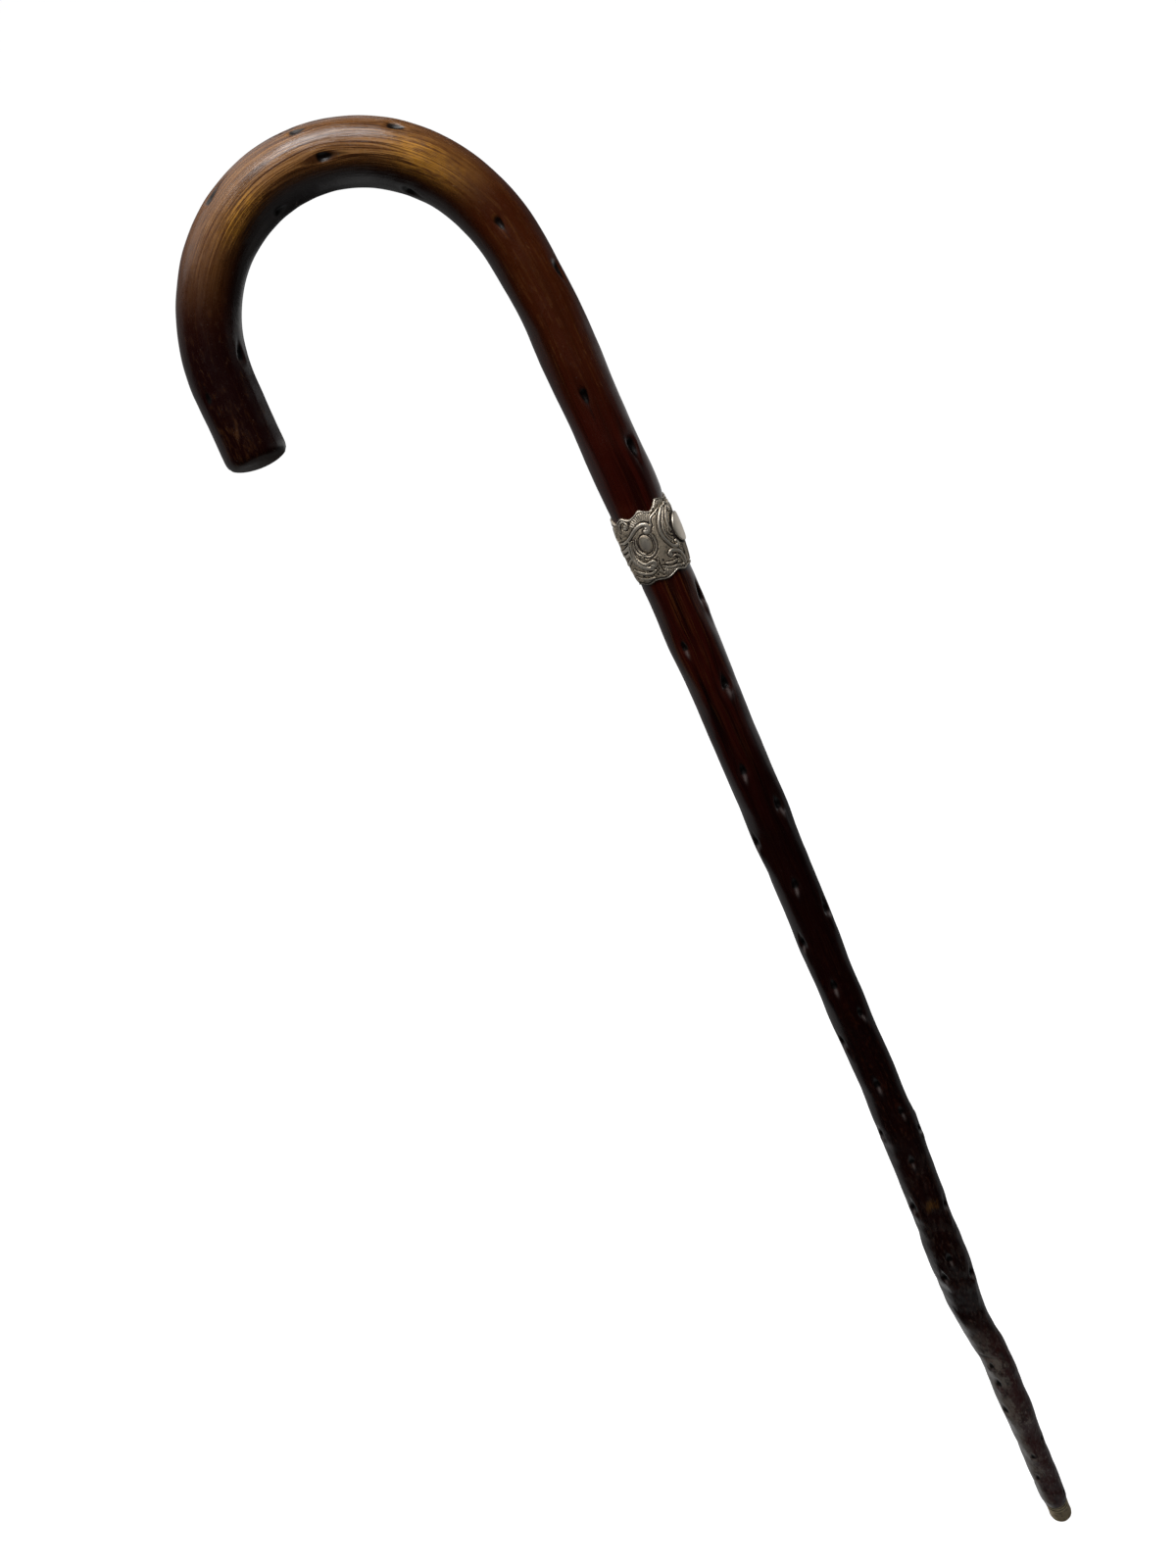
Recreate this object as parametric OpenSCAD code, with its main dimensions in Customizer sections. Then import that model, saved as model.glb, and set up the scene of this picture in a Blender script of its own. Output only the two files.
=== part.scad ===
// Crook-handled walking cane: one steam-bent knotty stick, a pitch-filled silver collar and a brass ferrule.
// The tip's flat is at the origin, the shaft runs up +Z and the crook bends towards -X. The photographed face is -Y.

/* [Stick] */
// Height at which the crook starts to bend
shaft_h = 769; // [740:1:840]
// Diameter of the wood just above the ferrule
tip_d = 15; // [14.6:0.1:16]
// Diameter at the kink, where the thin end meets the stout part
kink_d = 18.5; // [17:0.1:20]
// Diameter of the knotty swelling above the kink
swell_d = 22.3; // [20:0.1:23]
// Diameter of the middle of the shaft
middle_d = 21.4; // [20:0.1:22]
// Diameter above the collar and round the crook
grip_d = 26.2; // [25.8:0.1:28]
// Diameter of the nose, the free end of the crook
nose_d = 27.8; // [26:0.1:30]

/* [Crook] */
// Bending radius where the shaft leans into the crook
shoulder_r = 230; // [200:5:260]
// Turn of that first bend, in degrees
shoulder_turn = 12; // [8:1:16]
// Bending radius of the crown
crown_r = 69.5; // [62:0.5:76]
// Turn of the crown, in degrees
crown_turn = 64; // [56:1:72]
// Bending radius on the nose side
hook_r = 68; // [60:0.5:76]
// Turn of the nose side, in degrees
hook_turn = 101; // [92:1:104]
// Straight length of the nose
nose_len = 35; // [20:1:45]
// Rounding of the nose's end
nose_round = 7; // [4:0.5:9]

/* [Knots] */
// Length of a cut-off shoot's hollow, along the stick
knot_len = 15; // [11:0.5:19]
// Width of that hollow
knot_w = 7; // [5:0.5:9]
// Depth of that hollow
knot_depth = 1.7; // [1:0.1:2.2]
// How far the wood swells round a knot
knot_swell = 0.7; // [0.3:0.1:1.1]

/* [Collar] */
// Height of the collar's lower edge
collar_z = 655; // [620:1:680]
// Height of the collar from edge to edge
collar_h = 34; // [30:1:38]
// Diameter of the wood at the collar's lower edge
seat_low_d = 24.6; // [24:0.1:25]
// Diameter of the wood at the collar's upper edge
seat_top_d = 25.8; // [25.2:0.1:26]
// Thickness of the silver sheet
sheet_t = 0.6; // [0.4:0.05:0.8]
// How far the sheet bulges out between its edges
bulge = 1.6; // [1.2:0.1:2.2]
// Number of scallops round each edge
scallop_n = 9; // [7:1:11]
// Depth of the scallops
scallop_depth = 1.8; // [1:0.1:2.2]
// Height of the smooth name plate
plate_h = 14; // [11:0.5:17]
// Width of the smooth name plate
plate_w = 13; // [9:0.5:16]
// Thickness of the name plate
plate_t = 0.8; // [0.5:0.1:1.2]
// Direction that the name plate faces, in degrees from +X towards +Y
plate_turn = -25; // [-60:1:10]

/* [Ferrule] */
// Length of the ferrule
ferrule_h = 16; // [13:0.5:20]
// Outside diameter of the ferrule
ferrule_d = 13.8; // [13:0.1:14.4]
// Wall of the ferrule
ferrule_t = 0.9; // [0.6:0.05:1.1]
// Thickness of the ferrule's bottom
ferrule_floor = 3; // [2.4:0.1:4]
// Rounding of the ferrule's worn end
ferrule_round = 4; // [3:0.1:4.5]
// Width of each ring turned in the ferrule
ring_w = 0.8; // [0.5:0.1:1]
// Depth of each ring turned in the ferrule
ring_depth = 0.25; // [0.1:0.05:0.4]

/* [Pins] */
// Diameter of each pin
pin_d = 1.2; // [0.9:0.1:1.4]
// Diameter of the round head on a collar pin
head_d = 2.2; // [1.8:0.1:2.4]
// Length of a collar pin under its head
collar_pin_len = 6; // [4:0.5:7]
// Distance of each collar pin from the collar's nearer edge
pin_inset = 2.6; // [2.4:0.1:3.2]
// Length of the ferrule's pin, which is filed flush
ferrule_pin_len = 4.5; // [3:0.5:5]
// Height of the ferrule's pin above the tip
ferrule_pin_z = 9; // [7:0.5:10]
// Direction of the pins, at the back, in degrees from +X towards +Y
pin_turn = 96; // [80:1:110]

/* [Fits] */
// Clearance between pieces that are glued or driven together
fit_gap = 0.05; // [0.03:0.01:0.08]

/* [Hidden] */
wood = [0.22, 0.09, 0.05];
silver = [0.72, 0.70, 0.66];
pitch = [0.10, 0.08, 0.07];
brass = [0.55, 0.47, 0.30];
$fn = 64;

// The stick's skin: points round it, and the distance between its rings.
sides = 20;
ring_step = 6;
// How far the stick's axis stands off to the side at the collar, and where the crook begins.
collar_x = -0.6;
lean_x = -2.2;
// Lengths over which the collar's seat runs out, the nose thickens and the knots fade out.
seat_runout = 12;
nose_flare = 90;
knot_fade = 5;
collar_top = collar_z + collar_h;
tenon_d = ferrule_d - 2 * ferrule_t - 2 * fit_gap;
tenon_root = 6;
radian = PI / 180;
// The crook's three bends in turn, each with its radius and how far it turns.
BENDS = [[shoulder_r, shoulder_turn], [crown_r, crown_turn], [hook_r, hook_turn]];
function bend_len(i) = BENDS[i][0] * BENDS[i][1] * radian;
stick_len = shaft_h + bend_len(0) + bend_len(1) + bend_len(2) + nose_len;

// The shaft below the collar, upwards: share of the way to the collar, sideways, to the back, diameter.
SHAFT = [
    [0.00, 0.0, 0.0, tip_d],
    [0.06, 0.0, 0.2, tip_d + 0.9],
    [0.11, 0.0, 0.3, tip_d + 1.1],
    [0.16, 0.4, 0.2, kink_d - 0.6],
    [0.22, 0.1, 0.2, kink_d - 0.7],
    [0.24, -1.4, 0.6, kink_d],
    [0.265, -3.0, 1.2, kink_d],
    [0.295, -3.4, 1.5, swell_d - 2.0],
    [0.33, -2.8, 1.2, swell_d],
    [0.36, -2.6, 0.8, swell_d],
    [0.385, -2.0, 0.5, swell_d - 1.3],
    [0.42, -1.3, 0.1, middle_d],
    [0.49, -0.5, -0.6, middle_d + 0.2],
    [0.56, -0.4, -1.0, middle_d - 0.2],
    [0.62, -1.0, -0.5, middle_d + 0.1],
    [0.72, -0.4, 0.6, middle_d + 0.6],
    [0.83, -0.2, 0.5, middle_d + 1.6],
    [0.88, -0.3, 0.3, middle_d + 1.4],
    [0.93, -0.5, 0.1, middle_d + 2.2],
    [1.00, collar_x, 0.0, seat_low_d],
];

// Knots below the collar: share of the way to the collar, direction in degrees, size against the usual one.
SHAFT_KNOTS = [
    [0.035, -35, 0.5], [0.07, -135, 0.5], [0.10, -115, 0.5], [0.11, -40, 0.6], [0.16, -150, 0.7],
    [0.195, -130, 0.6], [0.22, -125, 0.6], [0.235, -150, 0.8], [0.325, -45, 1.2], [0.335, -135, 0.8],
    [0.355, -95, 0.7], [0.405, -40, 1.0], [0.415, -150, 1.1], [0.465, -100, 0.6], [0.485, -30, 1.0],
    [0.495, -165, 1.0], [0.515, -75, 0.6], [0.55, -110, 0.8], [0.595, -160, 1.0], [0.615, -65, 0.7],
    [0.65, -110, 0.8], [0.69, -150, 1.0], [0.71, -40, 1.1], [0.745, -100, 0.8], [0.785, -160, 0.9],
    [0.81, -60, 1.1], [0.845, -110, 0.8], [0.915, -65, 1.2], [0.95, -125, 0.6], [0.975, -30, 1.3],
];

// Knots above the collar: share of the way from the collar to the nose's end, direction, size.
CROOK_KNOTS = [
    [0.07, -55, 1.3], [0.15, -105, 0.8], [0.29, -40, 1.0], [0.365, -95, 0.9], [0.505, -50, 1.1],
    [0.585, -100, 1.2], [0.60, -45, 0.8], [0.665, -150, 1.2], [0.71, -35, 0.9], [0.87, -150, 1.2],
    [0.91, -60, 0.5], [0.105, 120, 0.9], [0.24, 70, 0.8], [0.415, 105, 1.0], [0.54, 70, 0.9],
    [0.655, 115, 0.9], [0.755, 60, 0.8], [0.84, 100, 0.8],
];

// The back carries a knot between each two of the front, half a turn round, give or take a little.
function back_knots(rows) = [
    for (i = [0:len(rows) - 2])
        [(rows[i][0] + rows[i + 1][0]) / 2, rows[i][1] + 180 + 14 * sin(97 * i), 0.7 + 0.25 * sin(61 * i)]
];

KNOTS = concat(
    [for (k = SHAFT_KNOTS) [k[0] * collar_z, k[1], k[2]]],
    [for (k = back_knots(SHAFT_KNOTS)) [k[0] * collar_z, k[1], k[2]]],
    [for (k = CROOK_KNOTS) [collar_top + k[0] * (stick_len - collar_top), k[1], k[2]]]
);

// A smooth curve through rows of numbers, read at t of their first column.
function row_before(rows, t, i = 0) = i >= len(rows) - 2 || t < rows[i + 1][0] ? i : row_before(rows, t, i + 1);
function slope(rows, i, c) =
    i == 0 || i == len(rows) - 1 ? 0 : (rows[i + 1][c] - rows[i - 1][c]) / (rows[i + 1][0] - rows[i - 1][0]);
function read(rows, t, c) =
    let (i = row_before(rows, t), w = rows[i + 1][0] - rows[i][0], u = max(0, min(1, (t - rows[i][0]) / w)))
    (1 + 2 * u) * (1 - u) * (1 - u) * rows[i][c] + u * u * (3 - 2 * u) * rows[i + 1][c]
    + w * u * (1 - u) * ((1 - u) * slope(rows, i, c) - u * slope(rows, i + 1, c));
function ease(u) = let (v = max(0, min(1, u))) v * v * (3 - 2 * v);

// The centreline: s is the way along it from the tip. The answer is x, y, z and the heading from +Z towards -X.
function shaft_x(z) =
    z <= collar_z ? read(SHAFT, z / collar_z, 1)
    : collar_x + (lean_x - collar_x) * ease((z - collar_top) / (shaft_h - collar_top));
function shaft_y(z) = z <= collar_z ? read(SHAFT, z / collar_z, 2) : 0;
function shaft_heading(z) = atan2(shaft_x(z - 1) - shaft_x(z + 1), 2);
function crook_point(d, i = 0, x = lean_x, z = shaft_h, h = 0) =
    i >= len(BENDS) ? [x - d * sin(h), 0, z + d * cos(h), h]
    : let (r = BENDS[i][0], turn = min(d / radian / r, BENDS[i][1]), to = h + turn,
           nx = x - r * (cos(h) - cos(to)), nz = z + r * (sin(to) - sin(h)))
      d <= bend_len(i) ? [nx, 0, nz, to] : crook_point(d - bend_len(i), i + 1, nx, nz, to);
function centre(s) =
    s <= shaft_h ? [shaft_x(s), shaft_y(s), s, shaft_heading(s)] : crook_point(s - shaft_h);

// The stick's own radius, before its knots.
function girth(s) =
    s <= collar_z ? read(SHAFT, s / collar_z, 3) / 2
    : s <= collar_top ? (seat_low_d + (seat_top_d - seat_low_d) * (s - collar_z) / collar_h) / 2
    : (seat_top_d + (grip_d - seat_top_d) * ease((s - collar_top) / seat_runout)
       + (nose_d - grip_d) * ease((s - stick_len + nose_flare) / nose_flare)) / 2;
// The collar's seat and the two ends are dressed clean, so knots fade out there.
function dressed(s) =
    ease((s - ferrule_h) / knot_fade) * ease((stick_len - nose_round - s) / knot_fade)
    * ease((s < collar_z ? collar_z - s : s - collar_top) / knot_fade);
function half_turn(a) = a - 360 * round(a / 360);
// A knot is a wide swelling with a hollow in it, each a bell curve of the distance from the knot.
function knot_rise(s, a, r, k) =
    let (u = 2 * (s - k[0]) / (knot_len * sqrt(k[2])),
         v = 2 * r * half_turn(a - k[1]) * radian / (knot_w * sqrt(k[2])),
         q = u * u + v * v)
    q > 14 ? 0 : k[2] * (knot_swell * exp(-q / 4) - (knot_depth + knot_swell) * exp(-q));
function sum(v, i = 0) = i == len(v) ? 0 : v[i] + sum(v, i + 1);
function end_round(s) =
    let (d = max(0, s - stick_len + nose_round)) nose_round - sqrt(max(0, nose_round * nose_round - d * d));

function ring(s) =
    let (c = centre(s), r = girth(s), near = [for (k = KNOTS) if (abs(k[0] - s) < 2 * knot_len) k],
         soft = dressed(s), cut = end_round(s))
    [for (i = [0:sides - 1])
        let (a = 360 * i / sides, q = r - cut + soft * sum([for (k = near) knot_rise(s, a, r, k)]))
        [c[0] + q * cos(a) * cos(c[3]), c[1] + q * sin(a), c[2] + q * cos(a) * sin(c[3])]];

// Ring positions: even steps between the places where the outline changes.
function steps(from, to, step) = let (n = ceil((to - from) / step)) [for (i = [0:n - 1]) from + (to - from) * i / n];
RINGS = concat(
    steps(ferrule_h, collar_z, ring_step), steps(collar_z, collar_top, collar_h / 2),
    steps(collar_top, stick_len - nose_round, ring_step),
    [for (a = [0:22.5:85]) stick_len - nose_round + nose_round * sin(a)]
);

// A closed skin over rings of points, with a flat fan at each end.
module skin(rings) {
    n = len(rings);
    m = len(rings[0]);
    points = [for (r = rings) for (p = r) p];
    walls = [for (j = [0:n - 2]) for (i = [0:m - 1]) let (a = j * m + i, b = j * m + (i + 1) % m)
        each [[a, a + m, b + m], [a, b + m, b]]];
    floor_face = [for (i = [0:m - 1]) i];
    roof_face = [for (i = [m - 1:-1:0]) (n - 1) * m + i];
    polyhedron(points = points, faces = concat(walls, [floor_face, roof_face]), convexity = 8);
}

// A pin's shank points along +X and ends at x = 0. The hole for it is wider and deeper by the clearance.
module shank(length, gap = 0) {
    translate([-length - gap, 0, 0]) rotate([0, 90, 0]) cylinder(d = pin_d + 2 * gap, h = length + gap);
}
module round_head() {
    intersection() {
        sphere(d = head_d);
        translate([0, -head_d, -head_d]) cube(2 * head_d);
    }
}
// The hole of a collar pin, with a flat spot for its head.
module collar_pin_hole() {
    shank(collar_pin_len, fit_gap);
    translate([-fit_gap, 0, 0]) rotate([0, 90, 0]) cylinder(d = head_d + 2 * fit_gap, h = head_d);
}

// The collar's outline: t is the share of the way up it.
function seat_r(t) = (seat_low_d + (seat_top_d - seat_low_d) * t) / 2;
function sheet_r(t) = seat_r(t) + fit_gap + sheet_t + bulge * (1 - pow(abs(2 * t - 1), 2.4));
PROFILE_STEPS = 10;
function outline(from, to, rise) = [
    for (i = [0:PROFILE_STEPS]) let (t = from + (to - from) * i / PROFILE_STEPS) [sheet_r(t) + rise, t * collar_h]
];
function back(list) = [for (i = [len(list) - 1:-1:0]) list[i]];
module at_collar() {
    translate([collar_x, 0, collar_z]) children();
}

// Two pins hold the collar, one near each edge, their heads seated on the sheet.
PIN_SHARES = [pin_inset / collar_h, 1 - pin_inset / collar_h];
module at_collar_pins() {
    for (t = PIN_SHARES)
        at_collar() rotate([0, 0, pin_turn]) translate([sheet_r(t), 0, t * collar_h]) children();
}
module at_ferrule_pin() {
    rotate([0, 0, pin_turn]) translate([ferrule_d / 2 - fit_gap, 0, ferrule_pin_z]) children();
}
module ferrule_pin_hole() {
    shank(ferrule_pin_len, fit_gap);
    translate([fit_gap, 0, 0]) shank(fit_gap, fit_gap);
}

module stick() {
    color(wood)
    difference() {
        union() {
            skin([for (s = RINGS) ring(s)]);
            translate([0, 0, ferrule_floor + fit_gap])
                cylinder(d = tenon_d, h = ferrule_h + tenon_root - ferrule_floor);
        }
        at_collar_pins() collar_pin_hole();
        at_ferrule_pin() ferrule_pin_hole();
    }
}

// The gap between two round lobes of the collar's edge, as a tool that points outwards.
lobe_half = PI * seat_low_d / scallop_n / 2;
module notch() {
    side = [for (a = [30:20:90]) [lobe_half * (1 - sin(a)), scallop_depth * (1 - cos(a))]];
    clear = [side[0][0], -scallop_depth];
    right = concat([clear], side);
    left = [for (p = back(right)) [-p[0], p[1]]];
    translate([seat_low_d / 4, 0, 0]) rotate([90, 0, 90]) linear_extrude(seat_top_d)
        polygon(concat(right, left));
}

module collar_shell() {
    color(silver)
    difference() {
        at_collar() rotate_extrude()
            polygon(concat(outline(0, 1, 0), back(outline(0, 1, -sheet_t))));
        for (i = [0:scallop_n - 1], top = [0, 1])
            at_collar() rotate([0, 0, pin_turn + 360 * (i + 0.5) / scallop_n])
                translate([0, 0, top * collar_h]) mirror([0, 0, top]) notch();
        at_collar_pins() collar_pin_hole();
    }
}

module collar_pitch() {
    // The sheet's edges lie bare on the wood, as far in as the pins.
    low = (pin_inset + pin_d) / collar_h;
    inside = [for (t = [1 - low, low]) [seat_r(t) + fit_gap, t * collar_h]];
    color(pitch)
    at_collar() rotate_extrude()
        polygon(concat(outline(low, 1 - low, -sheet_t - fit_gap), inside));
}

// The plate is a piece of the bulged sheet's own shape, cut to an oval.
plate_share = 0.55;
module cartouche_plate() {
    reach = 0.55 * plate_h / collar_h;
    low = plate_share - reach;
    high = plate_share + reach;
    oval = [for (a = [0:12:350]) [plate_h / 2 * cos(a), plate_w / 2 * sin(a)]];
    color(silver)
    intersection() {
        at_collar() rotate_extrude()
            polygon(concat(outline(low, high, fit_gap + plate_t), back(outline(low, high, fit_gap))));
        at_collar() rotate([0, 0, plate_turn]) translate([0, 0, plate_share * collar_h])
            rotate([0, 90, 0]) linear_extrude(seat_top_d) polygon(oval);
    }
}

module collar_pins() {
    color(silver)
    at_collar_pins() {
        shank(collar_pin_len);
        round_head();
    }
}

module ferrule() {
    half = ferrule_d / 2;
    low = ferrule_round;
    worn = [for (a = [0:15:90]) [half - low + low * sin(a), low - low * cos(a)]];
    color(brass)
    difference() {
        rotate_extrude() polygon(concat([[0, 0]], worn, [[half, ferrule_h], [0, ferrule_h]]));
        translate([0, 0, ferrule_floor]) cylinder(r = half - ferrule_t, h = ferrule_h);
        for (i = [1, 2])
            translate([0, 0, ferrule_h - 2.5 * i * ring_w]) rotate_extrude()
                translate([half - ring_depth, 0]) square([half, ring_w]);
        at_ferrule_pin() ferrule_pin_hole();
    }
}

module ferrule_pin() {
    color(brass) at_ferrule_pin() shank(ferrule_pin_len);
}

stick();
collar_shell();
collar_pitch();
cartouche_plate();
collar_pins();
ferrule();
ferrule_pin();
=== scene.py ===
"""A crook-handled walking cane: a knotty varnished stick, a chased silver collar and a brass ferrule."""

import math

import bpy
import numpy as np
from bpy.props import FloatProperty, FloatVectorProperty, PointerProperty
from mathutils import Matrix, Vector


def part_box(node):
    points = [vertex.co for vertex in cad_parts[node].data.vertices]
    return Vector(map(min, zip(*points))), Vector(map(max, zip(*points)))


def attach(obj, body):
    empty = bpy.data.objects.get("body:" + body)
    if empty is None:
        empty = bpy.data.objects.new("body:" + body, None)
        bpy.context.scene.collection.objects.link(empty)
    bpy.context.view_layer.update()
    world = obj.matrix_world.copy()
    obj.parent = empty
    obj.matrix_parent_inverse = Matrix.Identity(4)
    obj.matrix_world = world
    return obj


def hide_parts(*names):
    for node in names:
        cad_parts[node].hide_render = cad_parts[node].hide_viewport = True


bl_info = {
    "name": "Walking Cane",
    "version": (1, 0, 0),
    "blender": (4, 5, 0),
    "location": "View3D > Sidebar > Cane",
    "description": "Builds the finish of a crook-handled walking cane around its packed frame",
    "category": "Add Mesh",
}

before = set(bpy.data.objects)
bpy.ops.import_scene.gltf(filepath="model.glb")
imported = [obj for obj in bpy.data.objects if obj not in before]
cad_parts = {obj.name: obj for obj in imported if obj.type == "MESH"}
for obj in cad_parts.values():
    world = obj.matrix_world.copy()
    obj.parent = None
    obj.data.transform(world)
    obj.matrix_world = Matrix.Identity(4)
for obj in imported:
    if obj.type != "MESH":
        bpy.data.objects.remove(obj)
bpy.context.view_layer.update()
BODY = "root"
MM = 0.001
SHELL_LOW, SHELL_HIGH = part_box("collar_shell")
FERRULE_LOW, FERRULE_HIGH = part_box("ferrule")
PLATE_LOW, PLATE_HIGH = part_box("cartouche_plate")


def shade(name, description, default):
    """A colour property, in linear light."""
    return FloatVectorProperty(
        name=name, description=description, default=default, subtype="COLOR", size=3, min=0.0, max=1.0
    )


def length(name, description, default):
    """A length property, in metres."""
    return FloatProperty(name=name, description=description, default=default, unit="LENGTH", precision=5)


def tilt(name, description, degrees):
    """An angle property, given in degrees."""
    return FloatProperty(name=name, description=description, default=math.radians(degrees), subtype="ANGLE")


class StickSizes(bpy.types.PropertyGroup):
    """Sizes and colours of the stick."""

    shaft: length("Shaft", "Height at which the crook starts to bend", 0.769)
    shoulder: length("Shoulder", "Bending radius where the shaft leans over", 0.230)
    crown: length("Crown", "Bending radius of the crown", 0.0695)
    hook: length("Hook", "Bending radius on the nose side", 0.068)
    nose: length("Nose", "Straight length at the crook's free end", 0.035)
    nose_dome: length("Nose dome", "Height of the domed free end", 0.0046)
    grip: length("Grip", "Diameter of the crook", 0.0262)
    nose_width: length("Nose width", "Diameter at the free end", 0.0276)
    knot_depth: FloatProperty(
        name="Knot depth", description="How deep the knots are, as a share of the photographed ones",
        default=1.0, min=0.0, max=1.5,
    )
    # Deep stain also darkens the inner side of the crown and of the neck as painted shade.
    deep: shade("Deep stain", "Darkest stain of the shaft", (0.0046, 0.0003, 0.0004))
    red: shade("Red stain", "Redder streaks of the shaft", (0.032, 0.0032, 0.0014))
    russet: shade("Russet", "Limb of the crook above the collar", (0.060, 0.0125, 0.0022))
    amber: shade("Amber", "Where the stain is rubbed thin", (0.150, 0.056, 0.0130))
    honey: shade("Honey", "Polished wood of the crook's crown", (0.420, 0.200, 0.066))
    gold: shade("Gold", "Bare wood that shows through the varnish", (0.680, 0.310, 0.046))
    hairline: shade("Hairline", "Fine dark lines along the crown", (0.044, 0.0105, 0.0024))
    year_line: shade("Year line", "Dark year lines of the crown", (0.036, 0.0085, 0.0020))
    streak: shade("Streak", "Broad brown streaks of the crown", (0.066, 0.021, 0.0052))
    plum: shade("Plum", "Wood of the nose", (0.0085, 0.0011, 0.0010))
    end_face: shade("End face", "Worn end face of the nose", (0.050, 0.026, 0.018))
    # Ash also greys the left side of the thin end as a painted sheen.
    ash: shade("Ash", "Worn grey wood above the ferrule", (0.155, 0.130, 0.110))
    # Wine also keeps the right side of the thin end darker as painted shade.
    wine: shade("Wine", "Dark red stain that is left above the ferrule", (0.034, 0.0050, 0.0055))
    flake: shade("Flake", "Palest flecks above the ferrule", (0.21, 0.175, 0.150))
    # The nubs' colour is partly a painted highlight.
    nub: shade("Nub", "Bare nubs below the knots", (0.135, 0.108, 0.102))
    # The holes' colour is painted shade, also laid in the kink's fold.
    hole: shade("Hole", "Inside of the knots", (0.0012, 0.0006, 0.0005))


class CollarSizes(bpy.types.PropertyGroup):
    """Sizes and colours of the collar."""

    relief: length("Relief", "Height of the chased scrolls", 0.00072)
    groove: length("Groove", "Depth of the lines beside the scrolls", 0.00035)
    plate: length("Plate", "Thickness of the cartouche plate", 0.0008)
    silver: shade("Silver", "Polished silver", (0.91, 0.830, 0.715))
    ground: shade("Ground", "Dull silver between the scrolls", (0.66, 0.56, 0.43))
    tarnish: shade("Tarnish", "Tarnish in the hollows", (0.018, 0.014, 0.011))
    pitch: shade("Pitch", "Filling under the collar", (0.012, 0.009, 0.008))
    pitch_skin: shade("Pitch skin", "Dusty skin of the filling", (0.03, 0.02, 0.015))


class FerruleSizes(bpy.types.PropertyGroup):
    """Sizes and colours of the ferrule."""

    ring: length("Ring", "Depth of the turned rings", 0.00025)
    shoulder: length("Shoulder", "Rounding of the worn end", 0.004)
    brass: shade("Brass", "Rubbed brass", (0.98, 0.84, 0.58))
    dull: shade("Dull brass", "Tarnished brass", (0.62, 0.50, 0.32))
    dark_bands: shade("Dirt", "Dirt in the turned rings", (0.07, 0.050, 0.030))
    blot: shade("Blot", "Brown blotches", (0.10, 0.075, 0.046))


class StageSizes(bpy.types.PropertyGroup):
    """Sizes and colours of the stage, and the place of its camera."""

    reach: length("Reach", "Radius of the floor before it curves up", 3.0)
    sweep: length("Sweep", "Radius of the curve from the floor to the backdrop", 2.0)
    top: length("Top", "Height of the backdrop", 9.0)
    paper: shade("Paper", "Colour of the floor and backdrop, over their own glow", (0.22, 0.22, 0.22))
    cloud: shade("Cloud", "Faint clouds in the paper", (0.20, 0.20, 0.20))
    eye: FloatVectorProperty(
        name="Eye", description="Place of the camera", default=(-0.0749, -0.5445, 0.7551),
        subtype="TRANSLATION", unit="LENGTH", precision=4, size=3,
    )
    pitch: tilt("Pitch", "How far the camera looks down", 18.0)
    roll: tilt("Roll", "How far the camera is rolled to its right", 25.22)
    lens: FloatProperty(
        name="Lens", description="Focal length, in millimetres for a 36 mm sensor", default=27.05, min=1.0
    )


class CaneSettings(bpy.types.PropertyGroup):
    """All settings of the cane."""

    stick: PointerProperty(type=StickSizes)
    collar: PointerProperty(type=CollarSizes)
    ferrule: PointerProperty(type=FerruleSizes)
    stage: PointerProperty(type=StageSizes)


class Value:
    """A number inside a shader, with arithmetic that adds Math nodes."""

    def __init__(self, nodes, socket):
        self.nodes = nodes
        self.socket = socket

    def _math(self, operation, a, b):
        node = self.nodes.node("ShaderNodeMath", {"operation": operation}, {0: a, 1: b})
        return Value(self.nodes, node.outputs[0])

    def __add__(self, other):
        return self._math("ADD", self, other)

    def __sub__(self, other):
        return self._math("SUBTRACT", self, other)

    def __mul__(self, other):
        return self._math("MULTIPLY", self, other)

    def __rsub__(self, other):
        return self._math("SUBTRACT", other, self)

    __radd__ = __add__
    __rmul__ = __mul__

    def sine(self):
        """The sine of a number, in radians."""
        return self._math("SINE", self, 0.0)

    def step(self, low, high):
        """Rises smoothly from 0 at low to 1 at high, or falls where high is below low."""
        settings = {"interpolation_type": "SMOOTHSTEP"}
        inputs = {"Value": self, "From Min": min(low, high), "From Max": max(low, high)}
        if high < low:
            inputs.update({"To Min": 1.0, "To Max": 0.0})
        return Value(self.nodes, self.nodes.node("ShaderNodeMapRange", settings, inputs).outputs["Result"])

    def band(self, start, full, fading, end):
        """Rises smoothly from 0 at start to 1 at full, and falls from 1 at fading to 0 at end."""
        return self.step(start, full) * self.step(end, fading)


class Nodes:
    """A node tree, emptied first, with methods that add nodes to it."""

    def __init__(self, tree):
        self.tree = tree
        self.tree.nodes.clear()

    def node(self, kind, settings, inputs):
        """Adds a node: its settings first, then a value or a link for each named socket."""
        node = self.tree.nodes.new(kind)
        for key, value in settings.items():
            setattr(node, key, value)
        for key, value in inputs.items():
            self.feed(node.inputs[key], value)
        return node

    def feed(self, socket, value):
        """Links a Value or a socket, or sets a plain value."""
        if isinstance(value, Value):
            self.tree.links.new(value.socket, socket)
        elif isinstance(value, bpy.types.NodeSocket):
            self.tree.links.new(value, socket)
        elif hasattr(value, "__len__") and len(value) == 3 and len(socket.default_value) == 4:
            socket.default_value = (*value, 1.0)
        else:
            socket.default_value = value

    def parts(self, vector):
        """The three numbers of a vector."""
        outputs = self.node("ShaderNodeSeparateXYZ", {}, {0: vector}).outputs
        return [Value(self, socket) for socket in outputs]


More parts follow.
